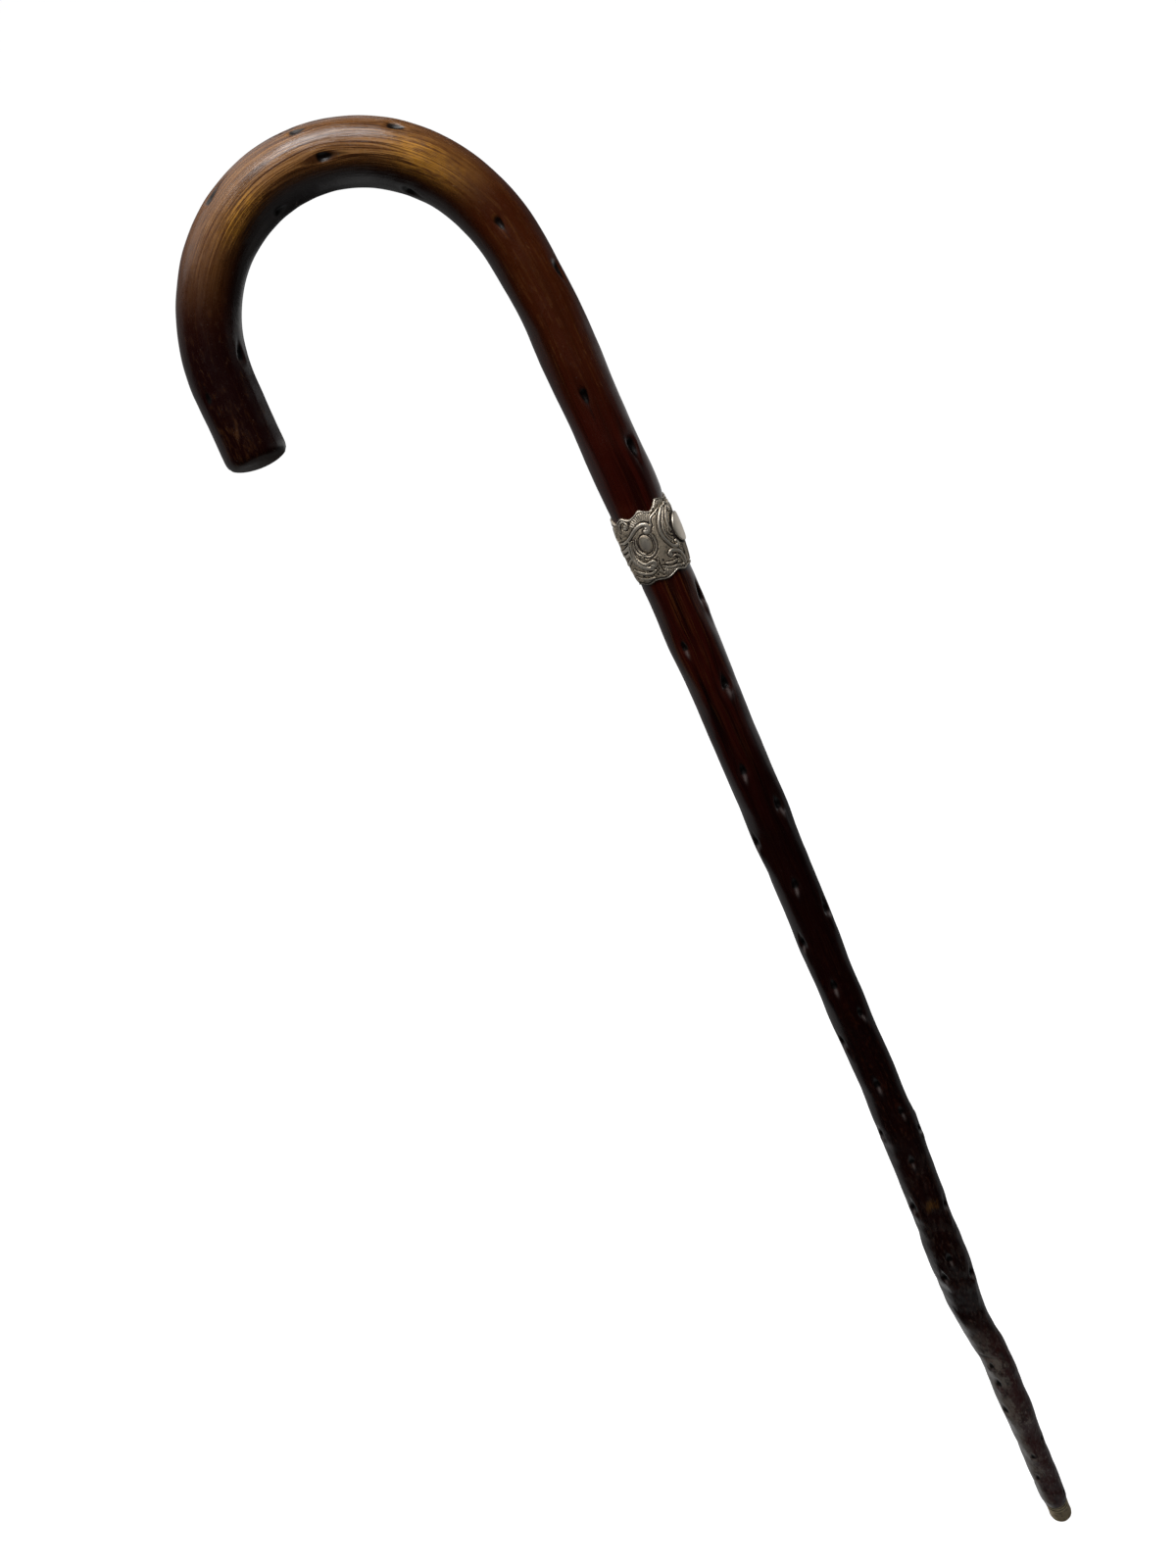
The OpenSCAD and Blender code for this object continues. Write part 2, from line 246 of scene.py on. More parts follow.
class Shader(Nodes):
    """A material's node tree, with one Principled surface."""

    def __init__(self, name, **constants):
        self.material = bpy.data.materials.new(name)
        self.material.use_nodes = True
        super().__init__(self.material.node_tree)
        self.surface = self.node("ShaderNodeBsdfPrincipled", {}, {})
        self.node("ShaderNodeOutputMaterial", {}, {"Surface": self.surface.outputs["BSDF"]})
        self.finish(**constants)

    def finish(self, **links):
        """Feeds the surface's sockets, named with _ for a space, and returns the material."""
        for key, value in links.items():
            self.feed(self.surface.inputs[key.replace("_", " ")], value)
        return self.material

    def attribute(self, name):
        """A number that is stored on the mesh."""
        return Value(self, self.node("ShaderNodeAttribute", {"attribute_name": name}, {}).outputs["Fac"])

    def object_place(self):
        """The place in the object's own space, in metres."""
        return self.node("ShaderNodeTexCoord", {}, {}).outputs["Object"]

    def scaled(self, place, cells):
        """A place times the number of cells a metre along each axis."""
        node = self.node("ShaderNodeVectorMath", {"operation": "MULTIPLY"}, {0: place, 1: cells})
        return node.outputs["Vector"]

    def noise(self, place, cells, detail=3.0, roughness=0.6, distortion=0.0):
        """Cloudy noise, about 0.5 on average, with so many cells a metre along each axis."""
        inputs = {"Vector": self.scaled(place, cells), "Scale": 1.0, "Detail": detail}
        inputs.update({"Roughness": roughness, "Distortion": distortion})
        return Value(self, self.node("ShaderNodeTexNoise", {}, inputs).outputs["Fac"])

    def dots(self, place, cells):
        """The distance to the nearest of scattered points, so many a metre along each axis."""
        inputs = {"Vector": self.scaled(place, cells), "Scale": 1.0}
        return Value(self, self.node("ShaderNodeTexVoronoi", {}, inputs).outputs["Distance"])

    def mix(self, factor, a, b):
        """A mix of two colours. The node's sockets 6, 7 and 2 are those for colours."""
        settings = {"data_type": "RGBA", "clamp_factor": True}
        return self.node("ShaderNodeMix", settings, {"Factor": factor, 6: a, 7: b}).outputs[2]

    def layers(self, colour, *rows):
        """One colour after another laid over the first, each given as (how much, colour)."""
        for factor, over in rows:
            colour = self.mix(factor, colour, over)
        return colour

    def bump(self, height, distance):
        """A bumped normal. The height is a number times the distance, in metres."""
        inputs = {"Strength": 1.0, "Distance": distance, "Height": height}
        return self.node("ShaderNodeBump", {}, inputs).outputs["Normal"]


def ease(u):
    """Rises smoothly from 0 to 1 as u goes from 0 to 1."""
    u = np.clip(u, 0.0, 1.0)
    return u * u * (3.0 - 2.0 * u)


def hump(x, width):
    """A smooth hump of height 1 where x is 0, that has sunk to about a third at the width."""
    return np.exp(-(x / width) ** 2)


def curve_through(rows, t):
    """A smooth curve through rows of (t, value, value, ...): a cubic piece between each two rows, with
    slopes taken from the rows on both sides and level ends."""
    rows = np.asarray(rows, float)
    t = np.clip(np.asarray(t, float), rows[0, 0], rows[-1, 0])
    i = np.clip(np.searchsorted(rows[:, 0], t, side="right") - 1, 0, len(rows) - 2)
    slope = np.zeros_like(rows[:, 1:])
    slope[1:-1] = (rows[2:, 1:] - rows[:-2, 1:]) / (rows[2:, :1] - rows[:-2, :1])
    w = (rows[i + 1, 0] - rows[i, 0])[..., None]
    u = (t - rows[i, 0])[..., None] / w
    a, b = rows[i, 1:], rows[i + 1, 1:]
    ends = (1 + 2 * u) * (1 - u) ** 2 * a + u * u * (3 - 2 * u) * b
    return ends + w * u * (1 - u) * ((1 - u) * slope[i] - u * slope[i + 1])


def grid_faces(rows, columns, closed_rows=False):
    """Quads over a grid of points whose columns close on themselves, and its rows too where asked."""
    j = np.arange(rows if closed_rows else rows - 1)[:, None]
    i = np.arange(columns)[None, :]
    up = (j + 1) % rows
    right = (i + 1) % columns
    quads = np.stack([j * columns + i, j * columns + right, up * columns + right, up * columns + i], -1)
    return quads.reshape(-1, 4)


def capped_faces(rows, columns, inside_out=False):
    """Quads over a grid of rings, and triangles from a centre point to the ring at each end. The centres
    are the last two points, the first ring's first."""
    i = np.arange(columns)
    right = (i + 1) % columns
    last = (rows - 1) * columns
    centre = rows * columns
    low = np.stack([np.full(columns, centre), right, i], -1)
    high = np.stack([np.full(columns, centre + 1), last + i, last + right], -1)
    faces = [grid_faces(rows, columns), np.concatenate([low, high])]
    return [part[:, ::-1] for part in faces] if inside_out else faces


def around_z(radius, turn, height):
    """Points at a radius, a turn about Z in radians, and a height."""
    return np.stack([radius * np.cos(turn), radius * np.sin(turn), height + 0 * turn], -1)


def full_turn(columns):
    """One row of evenly spaced turns all the way round, in radians."""
    return np.linspace(-math.pi, math.pi, columns, endpoint=False)[None, :]


def make_object(name, points, faces, material):
    """Puts points and grids of faces into a smooth mesh with its finish, and its object into the scene."""
    mesh = bpy.data.meshes.new(name)
    mesh.from_pydata(points.reshape(-1, 3).tolist(), [], [f for part in faces for f in part.tolist()])
    mesh.polygons.foreach_set("use_smooth", np.ones(len(mesh.polygons), bool))
    mesh.materials.append(material)
    made = bpy.data.objects.new(name, mesh)
    bpy.context.scene.collection.objects.link(made)
    return made


def make_piece(name, points, faces, material, node, attributes=None):
    """A piece of the cane, with its numbers or vectors per point, its body and its node."""
    piece = make_object(name, points, faces, material)
    for key, values in (attributes or {}).items():
        values = np.asarray(values, np.float32)
        kind, field = ("FLOAT_VECTOR", "vector") if values.ndim == 2 else ("FLOAT", "value")
        piece.data.attributes.new(key, kind, "POINT").data.foreach_set(field, values.ravel())
    piece.data.update()
    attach(piece, BODY)
    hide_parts(node)


def dress_node(node, material):
    """Gives a CAD node that keeps its own shape its finish."""
    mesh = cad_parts[node].data
    mesh.materials.clear()
    mesh.materials.append(material)


# The shaft below the collar, in millimetres: height above the tip, sideways, to the back, diameter.
SHAFT = [
    (0, 0.0, 0.0, 15.0), (39, 0.0, 0.2, 15.9), (72, 0.0, 0.3, 16.1), (105, 0.4, 0.2, 17.9),
    (144, 0.1, 0.2, 17.8), (157, -1.4, 0.6, 18.5), (174, -3.0, 1.2, 18.5), (193, -3.4, 1.5, 20.3),
    (216, -2.8, 1.2, 22.3), (236, -2.6, 0.8, 22.3), (252, -2.0, 0.5, 21.0), (275, -1.3, 0.1, 21.4),
    (321, -0.5, -0.6, 21.6), (367, -0.4, -1.0, 21.2), (406, -1.0, -0.5, 21.5), (472, -0.4, 0.6, 22.0),
    (544, -0.2, 0.5, 23.0), (576, -0.3, 0.3, 22.8), (609, -0.5, 0.1, 23.6), (655, -0.6, 0.0, 24.6),
]

# Knots on the photographed side, in millimetres along the stick and degrees from +X: place, direction, size.
FRONT_KNOTS = [
    (23, -36, 0.5), (44, -136, 0.45), (64, -116, 0.45), (72, -39, 0.6), (105, -150, 0.9), (128, -133, 0.8),
    (144, -127, 0.5), (214, -43, 1.2), (219, -133, 0.8), (233, -97, 0.7), (266, -42, 1.0), (272, -151, 1.1),
    (305, -99, 0.6), (319, -29, 1.0), (325, -163, 1.0), (338, -73, 0.6), (360, -108, 0.8), (389, -162, 1.0),
    (404, -67, 0.7), (425, -108, 0.8), (453, -149, 1.0), (466, -40, 1.1), (487, -101, 0.8), (514, -162, 0.9),
    (530, -59, 1.1), (554, -111, 0.8), (598, -66, 1.2), (622, -124, 0.6), (641, -30, 1.3),
]
CROOK_KNOTS = [
    (715, -56, 1.3), (743, -103, 0.8), (793, -42, 0.9), (820, -97, 0.6), (872, -49, 0.7), (900, -102, 0.8),
    (907, -44, 0.6), (929, -150, 0.8), (945, -37, 0.7), (1003, -150, 0.9), (1017, -60, 0.4),
    (727, 120, 0.9), (776, 70, 0.8), (839, 105, 0.8), (884, 70, 0.7), (925, 115, 0.7), (961, 60, 0.7),
    (992, 100, 0.6), (862, -160, 0.9), (910, -21, 1.2),
]

# A knot of size 1, in millimetres: way along from its hole towards the crook, height of its middle over the
# stick, half width. Below the hole stands a nub that runs out towards the tip.
KNOT = [
    (-17, 0.0, 0.6), (-10, 0.30, 1.3), (-5.0, 0.60, 1.9), (-2.4, -0.5, 2.0), (-1.0, -1.6, 1.9),
    (1.0, -1.6, 1.6), (3.2, -0.75, 1.1), (6.5, -0.12, 0.6), (10, 0.0, 0.5),
]

# The wood's diameter at the collar's lower and upper edge, in millimetres, and the height between them.
SEAT = (24.6, 25.8)
COLLAR_TALL = (SHELL_HIGH.z - SHELL_LOW.z) / MM


def seat_width(height):
    """The wood's diameter under the collar, a straight cone, at a height over the collar's lower edge."""
    return np.interp(height, [0, COLLAR_TALL], SEAT)


def all_knots():
    """The photographed knots, and one on the back between each two of the front's."""
    front = np.array(FRONT_KNOTS, float)
    i = np.arange(len(front) - 1)
    back = np.stack([
        (front[:-1, 0] + front[1:, 0]) / 2,
        front[:-1, 1] + 180 + 14 * np.sin(np.radians(97 * i)),
        0.7 + 0.25 * np.sin(np.radians(61 * i)),
    ], -1)
    return np.concatenate([front, back, np.array(CROOK_KNOTS, float)])


class Stick:
    """The stick's shape: a centreline, a girth and knots, as functions of the way along it in millimetres."""

    # Millimetres, but degrees for the turns of the three bends, and a share for what the crown loses.
    collar_low, collar_top = SHELL_LOW.z / MM, SHELL_HIGH.z / MM
    collar_x, lean_x = -0.6, -2.2
    bend_turns = (12.0, 64.0, 101.0)
    seat_runout, nose_flare = 12.0, 90.0
    foot_taper, foot_reach = 0.45, 5.0
    by_ferrule, by_collar, by_nose, knot_reach = 5.0, 4.0, 6.0, 42.0
    crown_span, crown_flattened = (870.0, 950.0), 0.92

    def __init__(self, sizes):
        self.shaft = sizes.shaft / MM
        radii = [sizes.shoulder / MM, sizes.crown / MM, sizes.hook / MM]
        self.bends = list(zip(radii, np.radians(self.bend_turns)))
        self.nose = sizes.nose / MM
        self.grip, self.nose_width = sizes.grip / MM, sizes.nose_width / MM
        self.dome = sizes.nose_dome / MM
        self.length = self.shaft + sum(r * turn for r, turn in self.bends) + self.nose
        self.knot_depth = sizes.knot_depth

    def centre(self, s):
        """The centreline's x, y, z and its heading from +Z towards -X: the shaft's own small bends, then
        one circular arc after another, then straight on."""
        s = np.asarray(s, float)
        low = curve_through(SHAFT, s)
        lean = ease((s - self.collar_top) / (self.shaft - self.collar_top))
        x = np.where(s <= self.collar_low, low[..., 0], self.collar_x + (self.lean_x - self.collar_x) * lean)
        y = np.where(s <= self.collar_low, low[..., 1], 0.0)
        z = np.minimum(s, self.shaft)
        heading = np.zeros_like(s)
        left = np.maximum(s - self.shaft, 0.0)
        for radius, turn in self.bends:
            bent = np.minimum(left / radius, turn)
            x = x - radius * (np.cos(heading) - np.cos(heading + bent))
            z = z + radius * (np.sin(heading + bent) - np.sin(heading))
            heading = heading + bent
            left = left - bent * radius
        return x - left * np.sin(heading), y, z + left * np.cos(heading), heading

    def girth(self, s):
        """The radius before knots: measured below the collar, a straight cone under it, then even, and
        thicker towards the nose."""
        low = curve_through(SHAFT, s)[..., 2]
        grip = SEAT[1] + (self.grip - SEAT[1]) * ease((s - self.collar_top) / self.seat_runout)
        flare = ease((s - self.length + self.nose_flare) / self.nose_flare)
        grip = grip + (self.nose_width - self.grip) * flare
        above = np.where(s <= self.collar_top, seat_width(s - self.collar_low), grip)
        return np.where(s <= self.collar_low, low, above) / 2

    def dressed(self, s):
        """1 along the stick, falling to 0 where it is cut clean: by the collar, ferrule and nose."""
        off_collar = np.where(s < self.collar_low, self.collar_low - s, s - self.collar_top)
        ends = ease((s - FERRULE_HIGH.z / MM) / self.by_ferrule)
        ends = ends * ease((self.length - self.dome - s) / self.by_nose)
        return ends * ease(off_collar / self.by_collar)

    def knots(self, s, angle, radius):
        """Rise, darkness, worn rim and nub of all knots, and how far they push the grain aside. The darkness
        is painted shade in the holes, deepest where they are deepest, and a dark line along the cracks; the
        pale nub is worn wood and partly a painted highlight. Each follows the profile KNOT along the stick
        and a flat bell across it, slightly askew, between two lips, inside a wide scoop on a wider swelling.
        Below the collar a fine crack runs on from it towards the tip. On the crook the knots point the other
        way, hardly stand proud, have no nub and run out in a thin tail towards the collar. On top of the
        crown all that stands proud is flattened."""
        rise, dark, rim, bare, push = (np.zeros_like(s + angle) for _ in range(5))
        for place, direction, size in all_knots():
            near = np.abs(s[:, 0] - place) < self.knot_reach
            if not near.any():
                continue
            root = math.sqrt(size)
            on_shaft = place < self.collar_low
            along = (s[near] - place) / root * (1.0 if on_shaft else -0.8)
            profile = curve_through(KNOT, along)
            height, width = profile[..., 0], profile[..., 1]
            height = height if on_shaft else np.minimum(height, 0.25 * height)
            skew = 0.10 * math.sin(1.7 * place)
            across = np.radians((angle - direction + 180) % 360 - 180) * radius[near] / root + skew * along
            bell = np.exp(-np.abs(across / width) ** 3.6)
            way_out, thin = (-along - 5, 0.4) if on_shaft else (along - 3, 0.7)
            crack = hump(across, thin) * ease(way_out / 3) * (1 - ease((way_out - 5) / 5))
            lips = hump(np.abs(across) - 1.45 * width, 0.55 * width) * hump(along + 1.5, 7)
            scoop = hump(along - 1, 9) * hump(across, 4.2)
            swell = hump(along, 16) * hump(across, 7.5)
            rise[near] += size * (0.52 * swell - 0.34 * scoop + 0.15 * lips + self.knot_depth * height * bell)
            hole = np.clip(-height / 1.5, 0, 1) * bell
            dark[near] = np.maximum(dark[near], np.maximum(hole * min(1.0, 0.8 + 0.3 * size), 0.42 * crack))
            nub = hump(along + 4.6, 2.5) * hump(across, 0.40 * width) * on_shaft
            bare[near] = np.maximum(bare[near], nub)
            push[near] += 1.8 * root * np.tanh(across / 1.2) * hump(along, 9) * hump(across, 5)
            rim[near] = np.maximum(rim[near], size * (0.45 * scoop + 0.35 * lips))
        on_crown = ease((s - self.crown_span[0]) / 15) * ease((self.crown_span[1] - s) / 15)
        rise = np.where(rise > 0, rise * (1 - self.crown_flattened * on_crown), rise)
        return rise, dark, np.clip(rim, 0, 1), bare, push

    def ripple(self, s, angle):
        """Slow unevenness all along, and finer lumps towards the tip: sums of waves that close on themselves
        round the stick, each with its own length, direction and phase."""
        a = np.radians(angle)
        pick = np.random.default_rng(7)

        def waves(count, shortest, longest, most_round, height):
            total = np.zeros_like(s + angle)
            for _ in range(count):
                length_along = pick.uniform(shortest, longest)
                phase = pick.uniform(0, 2 * math.pi)
                total += np.sin(pick.integers(0, most_round + 1) * a + 2 * math.pi * s / length_along + phase)
            return total * height / math.sqrt(count)

        lumpy = 1 - ease((s - 170) / 180)
        calm = 1 - 0.65 * ease((s - 800) / 80)
        slow = calm * waves(26, 26, 90, 4, 0.26)
        return slow + lumpy * waves(40, 12, 34, 5, 0.11) + waves(30, 9, 24, 5, 0.03)

    def crease(self, s, angle):
        """The fold across the front of the kink, falling to the right, its darkness painted shade."""
        across = (angle + 150) / 70
        line = 153.5 - 5.5 * across
        return hump(s - line, 1.3) * hump(1.1 * across, 1)


class CANE_OT_stick(bpy.types.Operator):
    """Builds the knotty stick with its crook"""

    bl_idname = "cane.stick"
    bl_label = "Stick"
    rings, end_rings, columns = 868, 18, 112
    edge_rounding, rounding_reach = 0.035, 3.0

    def execute(self, context):
        sizes = context.scene.cane.stick
        stick = Stick(sizes)
        start = FERRULE_HIGH.z / MM
        edge = stick.length - stick.dome
        body = np.linspace(start, edge, self.rings - self.end_rings)
        inward = np.linspace(0, 1, self.end_rings + 2)[1:-1] ** 0.8
        s = np.concatenate([body, edge + stick.dome * (1 - (1 - inward) ** 2) ** 0.55])[:, None]
        shrink = np.concatenate([1 + 0 * body, 1 - inward])[:, None]
        to_edge = np.clip((s - edge + self.rounding_reach) / self.rounding_reach, 0, 1)
        softened = 1 - self.edge_rounding * to_edge ** 2
        angle = np.linspace(-180, 180, self.columns, endpoint=False)[None, :]
        girth = stick.girth(s)
        rise, dark, rim, bare, push = stick.knots(s, angle, girth)
        crease = stick.crease(s, angle)
        soft = stick.dressed(s)
        taper = stick.foot_taper * (1 - ease((s - start) / stick.foot_reach))
        radius = shrink * softened * (girth - taper + soft * (rise + stick.ripple(s, angle) - 0.55 * crease))
        x, y, z, heading = stick.centre(s)
        a = np.radians(angle)
        points = np.stack([
            x + radius * np.cos(a) * np.cos(heading),
            y + radius * np.sin(a),
            z + radius * np.cos(a) * np.sin(heading),
        ], -1)
        ends = [[float(v) for v in stick.centre(place)[:3]] for place in (start, stick.length)]
        grain = around_z(girth, a - push / girth, s).reshape(-1, 3)
        grain = np.concatenate([grain, [[0, 0, s[0, 0]], [0, 0, s[-1, 0]]]])
        face = np.clip((1 - shrink) * 8, 0, 1) + 0 * angle
        # The hollow attribute carries painted shade in the knot holes and in the kink's fold, and the dark
        # cracks; the nubs' attribute is worn wood and a painted highlight.
        make_piece(
            "knotty_stick", np.concatenate([points.reshape(-1, 3), ends]) * MM,
            capped_faces(self.rings, self.columns), stick_finish(sizes), "stick",
            {"grain": grain * MM, "hollow": np.append(np.maximum(dark, 0.55 * crease) * soft, [0, 0]),
             "rim": np.append(rim * soft, [0, 0]), "bare": np.append(bare * soft, [0, 0]),
             "face": np.append(face, [0, 1])},
        )
        return {"FINISHED"}


def stick_finish(sizes):
    """Stained and varnished wood: fine grain along the stick, honey where hands polished the crown, plum
    at the nose, nearly black along the shaft, and worn grey above the ferrule, greyer on its left side with a
    painted sheen. Painted shade darkens the inner side of the crown and of the neck, the knot holes and the
    kink's fold, and a painted highlight lies on the nubs below the knots."""
    wood = Shader("stained_wood", IOR=1.5, Specular_IOR_Level=0.42, Coat_Roughness=0.12, Coat_IOR=1.5)
    hollow, rim, bare, face = (wood.attribute(name) for name in ("hollow", "rim", "bare", "face"))
    grain = wood.node("ShaderNodeAttribute", {"attribute_name": "grain"}, {}).outputs["Vector"]
    side, back, s = wood.parts(grain)

    # Noises that follow the grain: cells a metre across and along it, detail, roughness, distortion.
    line, hair, streak, cloud, lumps, mottle, fleck, rings, blotch, speck, dust = (
        wood.noise(grain, (across, across, along), *kind) for across, along, *kind in (
            (1300, 26, 4.0, 0.62, 0.3), (2900, 70, 2.0, 0.6), (330, 11, 3.0, 0.6, 0.4), (90, 34, 3.0, 0.55),
            (260, 120, 1.0, 0.5), (420, 190, 4.0, 0.6), (800, 260, 2.0, 0.5), (260, 5.5, 2.0, 0.5, 0.3),
            (230, 105, 3.0, 0.6, 0.6), (1000, 620, 3.0, 0.65), (3300, 2600, 1.0, 0.5),
        )
    )
    year_lines = (rings * 95.0).sine().step(0.20, 0.95)
    turned = wood.node("ShaderNodeMapping", {}, {"Vector": grain, "Rotation": (0.5, 0.35, 0.0)}).outputs[0]
    scratch = wood.noise(turned, (3400, 260, 60), 1.0, 0.5).step(0.72, 0.80) * cloud.step(0.48, 0.62)

    # The shaft: nearly black, with red streaks and thin amber ones near the collar, russet above it, worn
    # spots below, and a small golden patch above the kink, where the stain is rubbed through. Deep stain on
    # the inner side of the neck is painted shade.
    low = s.step(0.40, 0.16)
    upper = s.step(0.700, 0.810)
    red = streak.step(0.34, 0.64) * (0.16 + 0.84 * s.step(0.50, 0.63)) + 0.35 * s.step(0.66, 0.70)
    strokes = s.step(0.73, 0.77) * line.step(0.48, 0.68) * (0.7 * mottle + 0.3 * cloud).step(0.40, 0.60)
    patch = s.band(0.2665, 0.2715, 0.2735, 0.2775) * back.step(-0.0092, -0.0104)
    shaft = wood.layers(
        sizes.deep,
        (red, sizes.red),
        (line.step(0.50, 0.70) * (0.04 + 0.30 * s.band(0.54, 0.65, 0.66, 0.70)), sizes.amber),
        (upper * (0.45 + 0.55 * cloud), sizes.russet),
        (strokes * back.step(-0.003, -0.011) * 0.42, sizes.amber),
        (low * (0.7 * lumps + 0.3 * mottle).step(0.50, 0.66) * 0.12, sizes.ash),
        (low * fleck.step(0.56, 0.70) * 0.22, sizes.ash),
        (s.step(0.50, 0.36) * (fleck * mottle).step(0.26, 0.40) * 0.28, sizes.russet),
        # Painted shade on the inner side of the neck.
        (upper * side.step(-0.006, -0.012) * 0.70, sizes.deep),
        (patch * (0.6 * mottle + 0.4 * line).step(0.40, 0.64) * 0.13, sizes.gold),
    )

    # The crown: brown with fine dark lines along its front, golden in two patches and darkened underneath
    # with painted shade.
    crown = s.band(0.824, 0.876, 0.925, 0.998)
    front = back.step(-0.003, -0.0105)
    polished = side.step(-0.0105, -0.002) * (0.35 + 0.65 * side.step(0.0125, 0.0070)) * (0.30 + 0.70 * front)
    first = s.band(0.830, 0.850, 0.860, 0.880) * side.step(0.0095, 0.0035)
    second = s.band(0.926, 0.938, 0.948, 0.962) * side.step(0.005, -0.003)
    golden = (first + second) * front * (0.6 * line + 0.4 * fleck).step(0.60, 0.42)
    honey = wood.layers(sizes.honey, (line.step(0.38, 0.58) * 0.85, sizes.amber), (golden, sizes.gold))
    crook = wood.layers(
        shaft,
        (crown * (0.65 + 0.35 * cloud) * side.step(-0.012, -0.004), sizes.amber),
        (crown * polished * cloud.step(0.20, 0.52), honey),
        (crown * hair.step(0.50, 0.64) * (0.25 + 0.35 * line), sizes.hairline),
        (crown * year_lines * (0.60 + 0.40 * mottle), sizes.year_line),
        (crown * streak.step(0.54, 0.68) * 0.55, sizes.streak),
        # Painted shade on the crown's inner, lower side.
        (crown * side.step(0.0005, -0.0105) * 0.88, sizes.deep),
    )

    # The nose: plum with amber scuffs near its end, and a paler worn end face.
    scuffs = mottle.step(0.50, 0.66) * fleck.step(0.46, 0.60)
    rubbed = s.band(1.024, 1.034, 1.044, 1.048) * side.band(-0.004, 0.0, 0.008, 0.0115)
    rubbed = rubbed * back.step(-0.002, -0.008) * (0.5 * fleck + 0.5 * mottle).step(0.44, 0.60)
    plum = wood.layers(
        sizes.plum,
        (line.step(0.52, 0.72) * 0.06, sizes.amber),
        (scuffs * 0.14 + rubbed * 0.12, sizes.amber),
    )

    # The thin end: grey and blotched where the stain is worn off, palest round the knots. Its left side is
    # greyer with a painted sheen and its right side keeps more dark red as painted shade.
    worn = s.step(0.190, 0.140)
    # The pale mask is worn grey wood pushed towards the left side as a painted sheen; the stained mask is
    # dark red stain pushed towards the right side as painted shade.
    pale = (0.55 * blotch + 0.45 * speck - 14.0 * side).step(0.42, 0.60)
    stain_and_shade = (0.6 * cloud + 0.4 * lumps - 14.0 * side).step(0.60, 0.46) * (1.15 - 0.6 * speck)
    flaked = (0.5 * fleck + 0.5 * speck).step(0.53, 0.62) * mottle.step(0.40, 0.60)
    on_crook = s.step(0.70, 0.76)
    colour = wood.layers(
        crook,
        (s.step(0.950, 1.005), plum),
        (face * (0.45 + 0.4 * mottle), sizes.end_face),
        (worn * (0.12 + 0.88 * pale), sizes.ash),
        (worn * (fleck * mottle).step(0.24, 0.34) * 0.4, sizes.russet),
        (worn * stain_and_shade, sizes.wine),
        (worn * flaked * 0.65, sizes.flake),
        (worn * blotch.step(0.42, 0.34) * 0.6, sizes.deep),
        ((0.03 + 0.50 * worn) * rim.step(0.15, 0.75), sizes.ash),
        (on_crook * scratch * 0.25, sizes.honey),
        ((0.15 + 0.35 * on_crook) * dust.step(0.68, 0.76) * mottle.step(0.46, 0.62), sizes.ash),
        # Nubs below the knots: worn wood, and a painted highlight on them.
        (bare * 0.75, sizes.nub),
        # Painted shade in the knot holes and in the kink's fold, and the dark cracks.
        (hollow.step(0.12, 0.60) * 0.95, sizes.hole),
    )

    # The varnish, over fine lines, dents and pits: thickest on the shaft, thinnest on the end face.
    rough = 0.17 + 0.15 * mottle + 0.06 * streak + 0.12 * hollow + 0.10 * worn + 0.20 * face
    lines = 0.26 * line + 0.10 * hair - 0.25 * scratch
    grained = (0.08 + 0.92 * s.band(0.76, 0.86, 0.95, 1.00)) * (1 - face)
    pitted = low * 1.2 * lumps + worn * 0.8 * mottle
    height = lines * grained + (0.18 + 0.17 * s.step(0.76, 0.86)) * mottle + 0.30 * cloud + pitted
    coat = (1 - hollow) * (0.16 + 0.20 * s.step(0.70, 0.60)) * (1 - 0.7 * face)
    return wood.finish(Base_Color=colour, Roughness=rough, Coat_Weight=coat, Normal=wood.bump(height, 0.0005))


# The collar's outline in millimetres: (way round from the plate's centre, upper edge, lower edge).
RIM = [
    (0.0, 33.6, 0.4), (3.2, 34.0, 0.9), (6.4, 34.9, 0.2), (9.0, 34.8, 1.0), (11.5, 32.6, 1.6),
    (14.0, 31.4, 1.0), (16.5, 32.2, 0.2), (19.5, 33.5, 0.0), (22.0, 32.4, 0.6), (25.0, 31.4, 0.9),
    (27.5, 32.0, 0.3), (30.0, 33.0, 0.0), (32.5, 32.2, 0.5), (35.5, 31.2, 1.1), (39.0, 32.4, 0.6),
    (42.5, 33.6, 0.0), (46.6, 33.9, 0.0),
]

